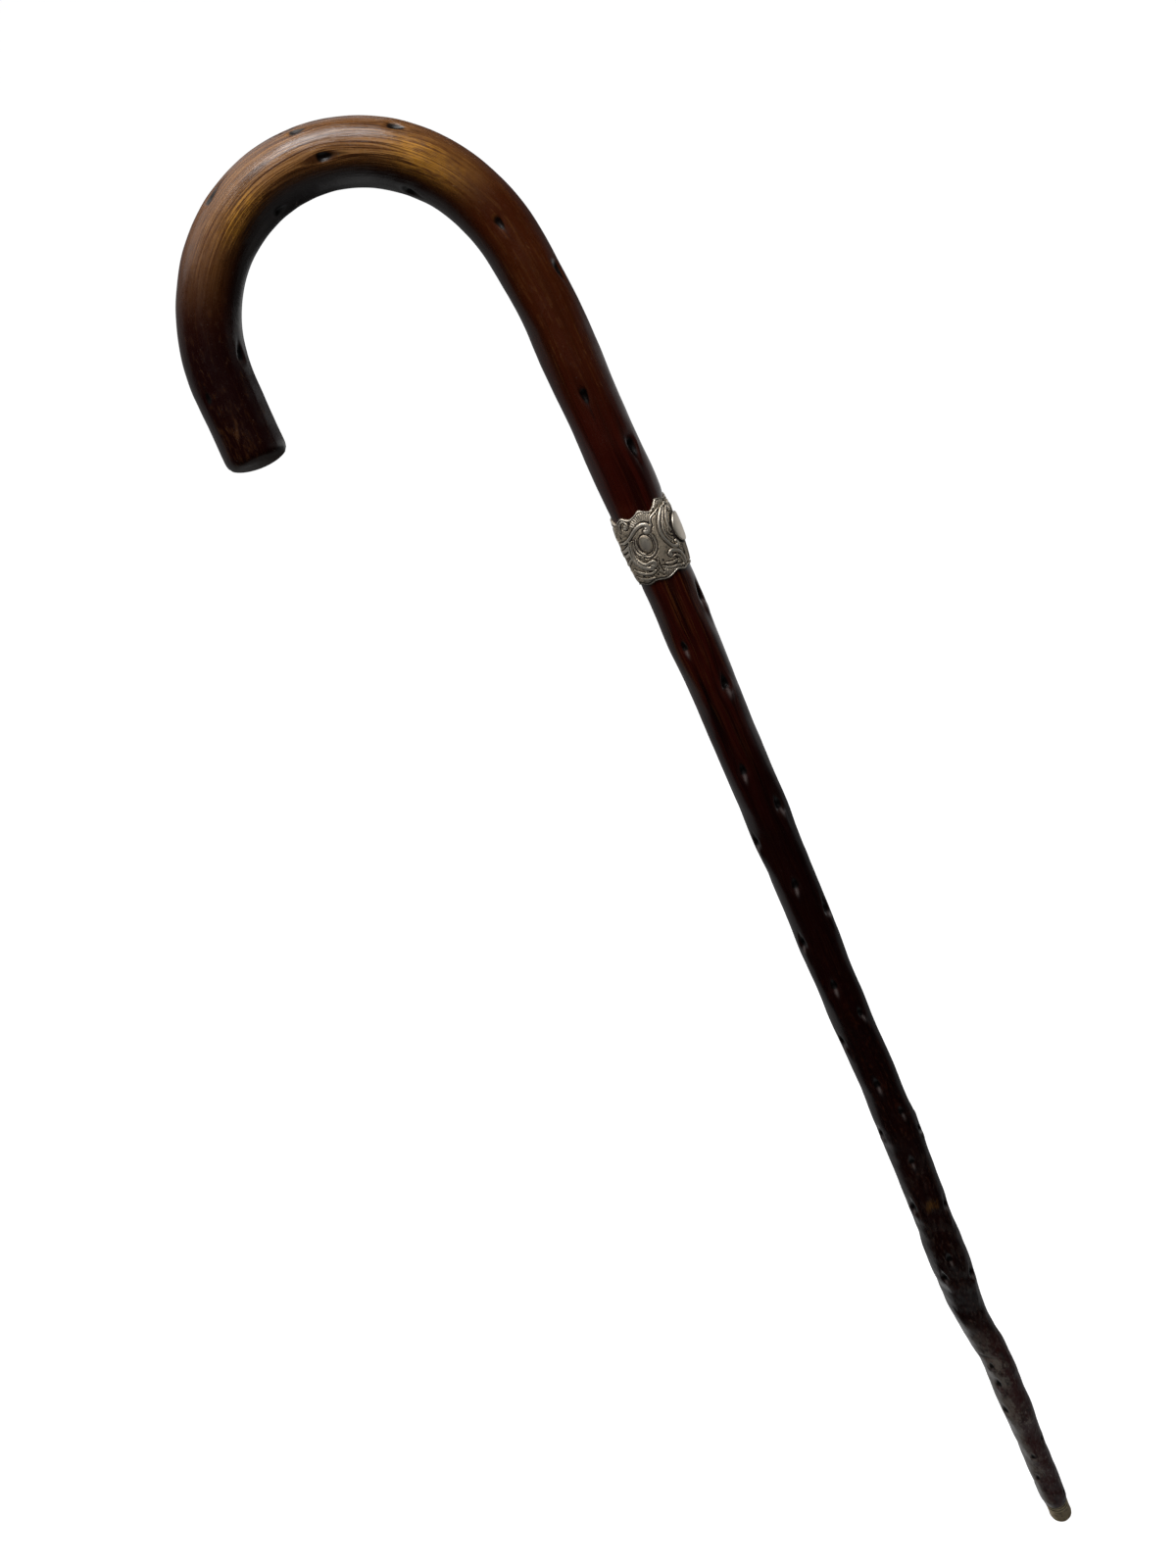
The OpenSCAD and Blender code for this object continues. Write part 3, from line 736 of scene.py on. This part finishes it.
# Scrolls chased into the collar: points of (way round, height) in millimetres, width at both ends, height.
SCROLLS = [
    # The great C-scroll and its curled eye.
    ([(37.5, 22.0), (34.0, 21.8), (30.6, 22.5), (27.4, 24.1), (25.0, 25.7), (22.6, 26.8), (20.2, 27.1),
      (18.5, 26.3), (17.8, 24.9), (18.6, 23.4), (19.8, 23.6)], 0.5, 1.15, 1.0),
    # The ribs that fall from it round the oval.
    ([(29.6, 21.8), (31.2, 19.2), (32.2, 16.4), (32.0, 13.6), (30.6, 11.0), (28.2, 8.9), (25.6, 7.6),
      (23.4, 7.0)], 0.75, 0.85, 0.95),
    ([(28.2, 21.9), (29.8, 19.0), (30.4, 16.2), (29.9, 13.4), (28.2, 11.1), (26.0, 9.6), (23.8, 9.9),
      (22.0, 9.9), (21.2, 8.8), (22.0, 7.7), (23.3, 8.2)], 0.65, 0.80, 0.9),
    ([(27.0, 21.8), (28.2, 19.4), (28.3, 17.0), (27.4, 15.2), (26.0, 14.2)], 0.55, 0.45, 0.7),
    ([(25.8, 22.0), (26.6, 19.6), (26.6, 17.2), (25.6, 15.4), (24.2, 14.3)], 0.50, 0.45, 0.7),
    # Leaves that lie back from the scroll.
    ([(30.2, 20.6), (33.2, 18.9), (36.8, 17.9), (40.6, 17.7), (44.4, 18.6)], 0.85, 0.55, 0.9),
    ([(31.6, 17.2), (34.6, 15.9), (38.2, 15.4), (42.0, 16.0), (45.2, 17.4)], 0.80, 0.50, 0.85),
    ([(32.4, 14.2), (35.4, 12.8), (38.8, 11.4), (42.4, 11.0), (45.6, 12.4)], 0.80, 0.50, 0.8),
    ([(38.0, 22.6), (40.4, 24.0), (42.2, 26.4), (41.4, 28.8), (39.2, 29.2), (38.2, 27.6),
      (39.2, 26.2)], 0.60, 0.85, 0.9),
    # The border of the oval.
    ([(19.2, 23.4), (17.6, 20.6), (17.3, 17.2), (18.6, 14.2), (21.0, 12.6), (23.6, 12.8), (25.4, 14.4)],
     0.45, 0.50, 0.7),
    # The ribbon beside the stippled panel, in two strands.
    ([(6.2, 30.9), (8.4, 29.4), (10.9, 26.9), (12.7, 23.9), (13.3, 20.9), (12.9, 17.8), (11.5, 14.9),
      (9.6, 12.5), (7.4, 11.7), (6.2, 12.8), (7.0, 13.9)], 0.65, 0.80, 1.0),
    ([(5.4, 30.0), (7.4, 28.2), (9.4, 25.8), (10.9, 23.2), (11.5, 20.6), (11.1, 17.8),
      (9.9, 15.4)], 0.50, 0.45, 0.75),
    ([(4.6, 29.0), (6.2, 26.8), (7.5, 24.4), (8.0, 21.8), (7.6, 19.4)], 0.75, 0.55, 0.85),
    ([(8.9, 21.4), (9.3, 19.4), (8.6, 17.8), (7.4, 17.2)], 0.45, 0.40, 0.6),
    # The curl above the plate.
    ([(4.9, 30.6), (3.0, 31.4), (1.3, 30.6), (0.8, 28.9), (2.0, 27.6), (3.6, 28.2), (3.6, 29.5), (2.5, 29.7)],
     0.60, 0.55, 0.95),
    # The lower right scroll.
    ([(12.7, 8.6), (13.2, 10.0), (12.0, 11.0), (10.0, 10.5), (7.8, 9.5), (6.0, 7.6), (5.0, 5.0), (4.6, 2.6)],
     0.80, 0.70, 1.0),
    ([(11.8, 8.3), (9.8, 8.2), (8.0, 7.0), (6.8, 5.2), (6.4, 3.4)], 0.50, 0.55, 0.7),
    ([(4.0, 10.8), (2.4, 8.4), (1.8, 5.4), (2.2, 2.6)], 0.60, 0.45, 0.7),
    # Leaves along the lower edge.
    ([(18.4, 6.4), (16.4, 4.9), (13.8, 3.9), (10.8, 3.5), (8.6, 2.7)], 0.55, 0.60, 0.75),
    ([(16.6, 7.0), (14.8, 6.2), (12.6, 5.8), (10.4, 6.0)], 0.75, 0.55, 0.7),
    ([(35.0, 8.8), (32.0, 6.9), (28.6, 5.5), (25.0, 4.9), (22.6, 5.6)], 0.65, 0.55, 0.8),
    ([(36.0, 5.2), (32.6, 3.6), (28.8, 2.7), (25.0, 2.6)], 0.60, 0.50, 0.7),
    ([(40.4, 8.6), (38.0, 6.4), (37.2, 3.8), (39.0, 2.2), (41.0, 3.4), (40.6, 5.0)], 0.60, 0.70, 0.85),
    ([(19.4, 10.4), (20.0, 8.0), (20.0, 5.4), (19.4, 3.0)], 0.40, 0.55, 0.6),
    ([(44.2, 8.2), (43.4, 5.2), (44.2, 2.4)], 0.60, 0.45, 0.7),
    # The wavy line under the upper edge, beside the panel.
    ([(9.0, 31.2), (11.2, 30.0), (13.4, 29.3), (15.2, 28.4), (16.1, 26.9), (16.3, 25.0)], 0.42, 0.42, 0.8),
    # The curl at the upper left.
    ([(33.0, 26.6), (32.6, 29.2), (31.0, 31.0), (28.9, 31.1), (27.6, 29.6), (28.2, 28.0),
      (29.6, 28.1)], 0.45, 0.60, 0.85),
]

# Dark pits: way round, height, half width, half height.
PITS = [
    (31.6, 29.4, 0.9, 1.3), (26.0, 29.5, 0.7, 0.9), (12.2, 31.4, 0.9, 0.6), (6.9, 16.6, 1.0, 2.6),
    (9.6, 6.9, 1.0, 0.6), (34.6, 24.6, 0.8, 1.2), (17.2, 8.6, 0.7, 1.0), (22.4, 3.4, 0.7, 0.9),
    (41.0, 20.6, 1.2, 0.8), (30.4, 4.6, 1.2, 0.5), (3.6, 7.2, 0.5, 1.8), (44.6, 28.6, 0.7, 1.2),
]

# Round swellings: (way round, height, half width, half height, rise).
BOSSES = [
    (22.0, 18.6, 3.2, 4.3, 0.75), (19.2, 24.9, 0.8, 0.8, 0.9), (22.3, 8.9, 0.6, 0.6, 0.7),
    (12.4, 9.4, 0.8, 0.8, 0.9), (2.4, 29.2, 0.7, 0.7, 0.8), (29.0, 29.0, 0.8, 0.8, 0.8),
    (6.6, 2.5, 0.9, 0.8, 0.9), (26.4, 13.2, 1.1, 0.7, 0.6), (20.2, 4.6, 1.0, 1.2, 0.6),
    (39.9, 27.4, 0.7, 0.7, 0.8), (39.6, 4.0, 0.6, 0.6, 0.8), (46.4, 24.0, 1.6, 3.4, 0.8),
    (46.5, 31.0, 1.2, 1.4, 0.7),
]

# Fans of ribs: (way round, height, inner and outer reach, first and last direction in degrees, count).
FANS = [
    (19.6, 24.6, 3.6, 7.6, 38, 158, 13), (30.2, 27.0, 3.6, 5.4, 50, 140, 8),
    (29.0, 8.0, 4.6, 7.2, 230, 300, 9), (13.6, 9.4, 5.6, 8.6, 222, 300, 9),
    (43.6, 24.8, 5.6, 8.6, 60, 120, 7), (6.4, 29.6, 2.6, 4.6, 40, 140, 7),
]


def chased(way, height):
    """The relief over the plain sheet, 0 to 1, and 0 to 1 for the lines beside it. Each scroll is a round
    ridge along a smooth curve, with a flute on it where it is wide and a groove at its foot. Bosses, fans
    and pits come on top, and between them all lies a stippled ground."""
    ridge, clear = np.zeros_like(way), np.full_like(way, 9.0)
    widen, reach = 1.22, 3.0
    for points, start, end, rise in SCROLLS:
        knots = np.concatenate([np.arange(len(points))[:, None], np.array(points)], 1)
        t = np.linspace(0, len(points) - 1, 9 * len(points))
        path = curve_through(knots, t)
        width = widen * np.interp(t, [0, len(points) - 1], [start, end]) * (0.35 + 0.65 * ease(t / 1.2))
        near = (way > path[:, 0].min() - reach) & (way < path[:, 0].max() + reach)
        near &= (height > path[:, 1].min() - reach) & (height < path[:, 1].max() + reach)
        gap = np.hypot(way[near][:, None] - path[:, 0], height[near][:, None] - path[:, 1])
        closest = (gap / width).min(1)
        flute = 0.14 * hump(closest, 0.22) * (width.max() > 0.75)
        ridge[near] = np.maximum(ridge[near], rise * np.clip(1 - closest ** 2, 0, 1) ** 0.85 - flute)
        clear[near] = np.minimum(clear[near], (gap - width).min(1))
    for x, z, half_width, half_height, rise in BOSSES:
        gap = np.hypot((way - x) / half_width, (height - z) / half_height)
        ridge = np.maximum(ridge, rise * np.clip(1 - gap ** 2, 0, 1) ** 0.5)
        clear = np.minimum(clear, (gap - 1) * half_width)
    for x, z, inner, outer, first, last, count in FANS:
        out = np.hypot(way - x, height - z)
        turn = np.degrees(np.arctan2(height - z, x - way)) % 360
        inside = ease((out - inner) / 0.5) * ease((outer - out) / 0.5)
        inside = inside * ease((turn - first) / 6) * ease((last - turn) / 6)
        rib = 0.5 + 0.5 * np.cos((turn - first) / (last - first) * count * 2 * math.pi)
        ridge = np.maximum(ridge, 0.75 * inside * rib)
    groove = hump(clear - 0.10, 0.15)
    for x, z, half_width, half_height in PITS:
        pit = 1 - ease(np.hypot((way - x) / half_width, (height - z) / half_height) - 0.2)
        groove = np.maximum(groove, pit * (1 - ridge))
    stipple = np.sin(way * 9.1 + 1.7 * np.sin(height * 3.1)) * np.sin(height * 9.7 + 1.3 * np.sin(way * 2.7))
    ground = ease((clear - 0.25) / 0.4) * (1 - ridge)
    return ridge + (0.34 + 0.04 * stipple) * ground, groove * (1 - ridge)


class CANE_OT_collar(bpy.types.Operator):
    """Builds the chased silver collar and its plain cartouche plate"""

    bl_idname = "cane.collar"
    bl_label = "Collar"
    rows, columns = 200, 484
    plate_rings, plate_columns = 26, 96
    # Degrees from +X for the plate's turn, and millimetres. The plate's seat is an oval a little wider.
    plate_turn = -25.0
    plate_half_width, plate_half_height = 6.5, 7.0
    seat_middle, seat_half_width, seat_half_height = 18.7, 7.1, 7.6
    over_wood, bulge, power = 0.65, 1.6, 2.4
    seat_depth, rolled_in = 0.25, 0.30

    def execute(self, context):
        sizes = context.scene.cane.collar
        self.shell(sizes, silver_finish(sizes, "chased_silver"))
        self.plate(sizes, silver_finish(sizes, "plain_silver", plain=True))
        dress_node("collar_pins", silver_finish(sizes, "pin_silver", plain=True))
        dress_node("collar_pitch", pitch_finish(sizes))
        return {"FINISHED"}

    def sheet_radius(self, height):
        """The sheet's outside in millimetres: the wood's cone, plus a bulge that is level in the middle."""
        off_middle = np.abs(2 * np.clip(height / COLLAR_TALL, 0, 1) - 1)
        return seat_width(height) / 2 + self.over_wood + self.bulge * (1 - off_middle ** self.power)

    def place(self, radius, turn, height):
        """Places on the collar, in metres."""
        return (around_z(radius, turn, height) + [Stick.collar_x, 0, SHELL_LOW.z / MM]) * MM

    def shell(self, sizes, silver):
        """The outer wall carries the relief between two beaded edges, sinks to a plain oval seat under the
        plate, and rolls in at both edges to a plain inner wall, a hair outside the wood."""
        belly = (SHELL_HIGH.x - SHELL_LOW.x) / 2 / MM
        turn = full_turn(self.columns)
        off = np.degrees(turn) - self.plate_turn
        way = np.radians(np.abs((off + 180) % 360 - 180)) * belly
        rim = curve_through(RIM, way)
        upper, lower = rim[..., 0], rim[..., 1]
        height = lower + (upper - lower) * np.linspace(0, 1, self.rows)[:, None]
        way = way + 0 * height
        ridge, groove = chased(way, height)
        edge = np.minimum(height - lower, upper - height)
        ridge = np.maximum(ridge * ease(edge / 1.1), hump(edge - 0.50, 0.40))
        relief, cut = sizes.relief / MM, sizes.groove / MM
        up = (height - self.seat_middle) / self.seat_half_height
        under_plate = np.hypot(up, way / self.seat_half_width)
        sunk = ease((1.07 - under_plate) / 0.10)
        radius = self.sheet_radius(height) - relief + (relief * ridge - cut * groove) * (1 - sunk)
        radius = radius - self.seat_depth * sunk - self.rolled_in * (1 - ease(edge / 0.35))
        inner = height[[-1, 0]]
        points = np.concatenate([
            self.place(radius, turn, height), self.place(seat_width(inner) / 2 + 0.05, turn, inner),
        ])
        # A dark band just inside both edges, and darker towards the lower edge away from the plate.
        dark_bands = hump(edge - 1.0, 0.35) + ease((3.4 - height) / 2.4) * ease((way - 14) / 5)
        # The recess also holds painted shade in a ring round the plate's seat, under the plate's edge.
        recess = np.clip(groove + 0.5 * dark_bands + 0.4 * sunk * ease((under_plate - 0.9) / 0.1), 0, 1)
        make_piece(
            "chased_collar", points, [grid_faces(self.rows + 2, self.columns, closed_rows=True)], silver,
            "collar_shell",
            {"recess": np.append(recess, np.ones(2 * self.columns)),
             "proud": np.append(ridge * (1 - sunk), np.zeros(2 * self.columns))},
        )

    def plate(self, sizes, silver):
        """The oval plate: rings from its centre out over a low crown, then over its rounded edge and back
        under it, all bent round the collar."""
        rings, columns = self.plate_rings, self.plate_columns
        middle = ((PLATE_LOW.z + PLATE_HIGH.z) / 2 - SHELL_LOW.z) / MM
        u = np.linspace(0, 1, rings)[:, None]
        out = np.clip(u / 0.86, 0, 1)
        round_off = np.clip((u - 0.86) / 0.14, 0, 1) * math.pi / 2
        lift = sizes.plate / MM * (0.78 + 0.20 * (1 - out ** 2)) * np.cos(round_off)
        reach = 0.955 * out + 0.045 * np.sin(round_off)
        a = np.linspace(0, 2 * math.pi, columns, endpoint=False)[None, :]
        height = middle + self.plate_half_height * reach * np.sin(a)
        base = self.sheet_radius(height)
        turn = math.radians(self.plate_turn) + self.plate_half_width * reach * np.cos(a) / base
        top = self.place(base + 0.06 + lift, turn, height)
        under = self.place(base[0, 0] + 0.05, turn[0, 0], height[0, 0])
        points = np.concatenate([top[1:].reshape(-1, 3), [top[0, 0], under]])
        faces = capped_faces(rings - 1, columns, inside_out=True)
        make_piece("cartouche", points, faces, silver, "cartouche_plate")


def silver_finish(sizes, name, plain=False):
    """Silver: polished where it stands proud, warm and stippled on its ground, black in the hollows, darker
    in a band inside each edge and towards the lower edge, and with painted shade round the plate's seat. The
    plain kind is only smooth and lightly clouded."""
    silver = Shader(name, Metallic=0.90)
    place = silver.object_place()
    cloud = silver.noise(place, (160, 160, 160), 3.0, 0.6)
    fine = silver.noise(place, (2600, 2600, 1300), 3.0, 0.6)
    if plain:
        colour = silver.mix(cloud.step(0.35, 0.75) * 0.30, sizes.silver, sizes.ground)
        rough = 0.28 + 0.16 * cloud + 0.10 * fine
        normal = silver.bump(fine + 0.6 * cloud, 0.00004)
        return silver.finish(Base_Color=colour, Roughness=rough, Normal=normal)
    recess, proud = silver.attribute("recess"), silver.attribute("proud")
    dots = silver.dots(place, (2300, 2300, 2300))
    blotch = silver.noise(place, (420, 420, 420), 4.0, 0.65)
    high = proud.step(0.32, 0.85)
    # The tarnish film follows the recess: tarnish in the grooves, the dark bands, and painted shade round the
    # plate's seat.
    film = (recess + 0.30 * blotch - 0.15).step(0.22, 0.80)
    colour = silver.layers(
        sizes.ground,
        (high * (0.72 + 0.5 * fine), sizes.silver),
        ((1 - high) * blotch.step(0.50, 0.70) * 0.65, sizes.tarnish),
        (film * (0.80 + 0.3 * fine), sizes.tarnish),
    )
    rough = 0.30 + 0.12 * cloud + 0.14 * fine + 0.16 * (1 - high) + 0.25 * film
    normal = silver.bump(dots * (1 - high) * 0.7 + 0.4 * fine + 0.4 * blotch, 0.00016)
    return silver.finish(Base_Color=colour, Roughness=rough, Normal=normal)


def pitch_finish(sizes):
    """Hard black pitch with a dull, dimpled skin."""
    pitch = Shader("hard_pitch", IOR=1.5)
    lumps = pitch.noise(pitch.object_place(), (500, 500, 500), 4.0, 0.6)
    colour = pitch.mix(lumps, sizes.pitch, sizes.pitch_skin)
    return pitch.finish(Base_Color=colour, Roughness=0.5 + 0.3 * lumps, Normal=pitch.bump(lumps, 0.0002))


class CANE_OT_ferrule(bpy.types.Operator):
    """Builds the worn brass ferrule"""

    bl_idname = "cane.ferrule"
    bl_label = "Ferrule"
    columns = 128
    # Places below the top, widths and the beads' height, in millimetres.
    grooves, groove_width = (3.6, 1.6), 0.34
    beads, bead_width, bead_rise = (4.6, 2.6, 0.6), 0.50, 0.16

    def execute(self, context):
        """Turns a profile round the axis: the small flat, the worn round end, a wall with grooves and beads
        at places below the top, and the mouth. Shallow dents lie in the wall."""
        sizes = context.scene.cane.ferrule
        brass = brass_finish(sizes)
        half = (FERRULE_HIGH.x - FERRULE_LOW.x) / 2 / MM
        top = FERRULE_HIGH.z / MM
        low = sizes.shoulder / MM
        bend = np.radians(np.linspace(0, 90, 14))
        worn = np.stack([half - low + low * np.sin(bend), low - low * np.cos(bend)], -1)
        z = np.linspace(low + 0.2, top - 0.25, 64)
        groove = sum(hump(z - top + below, self.groove_width) for below in self.grooves)
        bead = sum(hump(z - top + below, self.bead_width) for below in self.beads)
        wall = half - self.bead_rise - sizes.ring / MM * groove + self.bead_rise * bead
        mouth = [(half - 0.15, top - 0.08), (half - 0.40, top), (half - 0.9, top), (half - 0.9, top - 3)]
        profile = np.concatenate([[(1.4, 0.0)], worn, np.stack([wall, z], -1), mouth])
        a = full_turn(self.columns)
        r, z = profile[:, :1], profile[:, 1:]
        dents = 0.07 * np.sin(2 * a + z / 2.3) + 0.05 * np.sin(5 * a - z / 1.1)
        dents = dents + 0.03 * np.sin(9 * a + z * 1.7)
        dented = r - np.abs(dents) * ease(z / 2.5) * ease((top - z) / 2.0)
        points = np.concatenate([around_z(dented, a, z).reshape(-1, 3), [[0, 0, 0], [0, 0, top - 3]]]) * MM
        faces = capped_faces(len(profile), self.columns)
        make_piece("worn_ferrule", points, faces, brass, "ferrule")
        dress_node("ferrule_pin", brass)
        return {"FINISHED"}


def brass_finish(sizes):
    """Brass gone olive and dull, brighter where it rubs and on the beads, dirty between the beads."""
    brass = Shader("tarnished_brass", Metallic=0.9)
    place = brass.object_place()
    height = brass.parts(place)[2]
    cloud = brass.noise(place, (420, 420, 300), 4.0, 0.65)
    fine = brass.noise(place, (1500, 1500, 1900), 3.0, 0.6)
    rubbed = (cloud + 0.35 * fine).step(0.55, 0.85) * (0.35 + 0.65 * height.step(0.006, 0.001))
    wave, bead = 2 * math.pi / 0.002, FERRULE_HIGH.z - 0.0026
    waves = (height * wave + (math.pi / 2 - wave * bead)).sine()
    turned = height.step(FERRULE_HIGH.z - 0.0060, FERRULE_HIGH.z - 0.0048)
    colour = brass.layers(
        sizes.dull,
        (rubbed + turned * waves.step(0.2, 0.8), sizes.brass),
        (turned * waves.step(0.0, -0.9) * 0.85, sizes.dark_bands),
        (cloud.step(0.44, 0.32) * 0.5, sizes.blot),
    )
    rough = 0.38 + 0.30 * cloud - 0.10 * rubbed
    return brass.finish(Base_Color=colour, Roughness=rough, Normal=brass.bump(0.5 * fine + cloud, 0.00009))


# Lights: name, place, what it faces, width and depth in metres, watts, and whether it shines in the varnish.
LIGHTS = [
    ("front_light", (0.10, -0.95, 2.20), (0.0, 0.0, 0.45), (0.9, 0.75), 18.0, True),
    ("small_light", (-0.01, -0.80, 2.25), (0.0, 0.0, 0.60), (0.3, 0.3), 3.0, True),
    ("overhead_light", (-0.55, -0.15, 2.10), (-0.1, 0.0, 0.85), (1.4, 1.4), 7.0, True),
    ("back_light", (0.0, 0.95, 1.95), (-0.05, 0.0, 0.8), (0.9, 0.6), 1.2, True),
    ("back_fill", (0.5, 1.20, 2.00), (0.0, 0.0, 0.5), (1.2, 0.8), 20.0, False),
    ("front_fill", (-0.35, -1.10, 1.50), (0.0, 0.0, 0.5), (1.0, 1.0), 6.5, False),
]


class CANE_OT_stage(bpy.types.Operator):
    """Sets the camera, the pale floor and the soft light"""

    bl_idname = "cane.stage"
    bl_label = "Stage"
    columns = 96

    def execute(self, context):
        sizes = context.scene.cane.stage
        self.camera(context, sizes)
        self.room(sizes)
        self.lights(context)
        self.surroundings(context)
        context.scene.view_settings.view_transform = "Standard"
        context.scene.view_settings.look = "None"
        return {"FINISHED"}

    def camera(self, context, sizes):
        """The photograph's camera, in front of the crook: first pitched down, then rolled to its right."""
        data = bpy.data.cameras.new("photo_camera")
        data.sensor_width, data.lens = 36.0, sizes.lens
        data.clip_start, data.clip_end = 0.01, 50.0
        camera = bpy.data.objects.new("photo_camera", data)
        context.scene.collection.objects.link(camera)
        pitch, roll = sizes.pitch, sizes.roll
        ahead = np.array([0.0, math.cos(pitch), -math.sin(pitch)])
        level = np.array([1.0, 0.0, 0.0])
        down = np.array([0.0, -math.sin(pitch), -math.cos(pitch)])
        right = math.cos(roll) * level + math.sin(roll) * down
        below = -math.sin(roll) * level + math.cos(roll) * down
        matrix = np.eye(4)
        matrix[:3] = np.stack([right, -below, -ahead, np.array(sizes.eye)], 1)
        camera.matrix_world = matrix.T
        context.scene.camera = camera

    def room(self, sizes):
        """One surface of revolution: a flat floor that curves up into a wide dome. Only the camera sees it,
        so that it lights nothing by itself."""
        paper = Shader("pale_paper", Roughness=0.9, Specular_IOR_Level=0.0)
        clouds = paper.noise(paper.object_place(), (3, 3, 3), 2.0, 0.5)
        colour = paper.mix(clouds * 0.03, sizes.paper, sizes.cloud)
        paper.finish(Base_Color=colour, Emission_Color=(1.0, 1.0, 1.0, 1.0), Emission_Strength=1.0)
        flat = np.linspace(0, sizes.reach, 24)[1:]
        bend = np.radians(np.linspace(0, 90, 16))[1:]
        wall = np.linspace(sizes.sweep, sizes.top, 8)[1:]
        profile = np.concatenate([
            np.stack([flat, 0 * flat], -1),
            np.stack([sizes.reach + sizes.sweep * np.sin(bend), sizes.sweep * (1 - np.cos(bend))], -1),
            np.stack([sizes.reach + sizes.sweep + 0 * wall, wall], -1),
        ])
        points = around_z(profile[:, :1], full_turn(self.columns), profile[:, 1:]).reshape(-1, 3)
        points = np.concatenate([points, [[0, 0, 0], [0, 0, wall[-1]]]])
        faces = capped_faces(len(profile), self.columns, inside_out=True)
        room = make_object("paper_room", points, faces, paper.material)
        room.visible_glossy = False
        room.visible_diffuse = False
        room.visible_shadow = False

    def lights(self, context):
        """The main light above the camera, whose shine lies on the crook's shoulder, a small one in its
        middle, a wide faint one overhead and a faint one behind, and two fills that don't show in the
        varnish. Each is a rectangle that faces its target."""
        for name, place, target, size, power, shines in LIGHTS:
            data = bpy.data.lights.new(name, "AREA")
            data.shape, data.size, data.size_y = "RECTANGLE", *size
            data.energy = power
            light = bpy.data.objects.new(name, data)
            context.scene.collection.objects.link(light)
            x, y, z = np.array(place) - np.array(target)
            light.location = place
            light.rotation_euler = (math.atan2(math.hypot(x, y), z), 0.0, math.atan2(y, x) + math.pi / 2)
            light.visible_glossy = shines

    def surroundings(self, context):
        """Pale surroundings beside and behind the cane, brightest low on the left and level on the right.
        Towards the camera there is nearly nothing but a faint window far right and a faint floor below."""
        world = bpy.data.worlds.new("studio")
        context.scene.world = world
        world.use_nodes = True
        around = Nodes(world.node_tree)
        x, y, z = around.parts(around.node("ShaderNodeTexCoord", {}, {}).outputs["Generated"])
        beside = y.step(-0.04, 0.26)
        low = z.step(-0.62, -0.82)
        level = z.band(-0.38, -0.18, -0.06, 0.04)
        floor = z.step(-0.76, -0.90) * 0.20
        left = x.step(0.10, -0.40) * (0.17 + 0.42 * low)
        right = x.step(-0.05, 0.50) * (0.07 + 0.12 * low + 0.54 * level)
        window = x.step(0.84, 0.93) * level * 0.14
        strength = 0.003 + beside * (left + right) + (1 - beside) * (window + floor)
        inputs = {"Color": (1.0, 1.0, 1.0, 1.0), "Strength": strength}
        background = around.node("ShaderNodeBackground", {}, inputs).outputs[0]
        around.node("ShaderNodeOutputWorld", {}, {"Surface": background})


class CANE_PT_panel(bpy.types.Panel):
    """Lists the cane's pieces"""

    bl_idname = "CANE_PT_panel"
    bl_label = "Walking Cane"
    bl_space_type = "VIEW_3D"
    bl_region_type = "UI"
    bl_category = "Cane"

    def draw(self, context):
        settings = context.scene.cane
        for operator, group in ((CANE_OT_stick, settings.stick), (CANE_OT_collar, settings.collar),
                                (CANE_OT_ferrule, settings.ferrule), (CANE_OT_stage, settings.stage)):
            box = self.layout.box()
            box.operator(operator.bl_idname)
            for key in group.bl_rna.properties.keys():
                if key not in ("rna_type", "name"):
                    box.prop(group, key)


CLASSES = (
    StickSizes, CollarSizes, FerruleSizes, StageSizes, CaneSettings,
    CANE_OT_stick, CANE_OT_collar, CANE_OT_ferrule, CANE_OT_stage, CANE_PT_panel,
)


def register():
    """Registers the classes and the settings of the scene."""
    for cls in CLASSES:
        bpy.utils.register_class(cls)
    bpy.types.Scene.cane = PointerProperty(type=CaneSettings)


def unregister():
    """Takes the settings and the classes away again."""
    del bpy.types.Scene.cane
    for cls in reversed(CLASSES):
        bpy.utils.unregister_class(cls)


def main():
    """Builds the stage and the cane."""
    register()
    bpy.ops.cane.stage()
    bpy.ops.cane.stick()
    bpy.ops.cane.collar()
    bpy.ops.cane.ferrule()


if __name__ == "__main__":
    main()
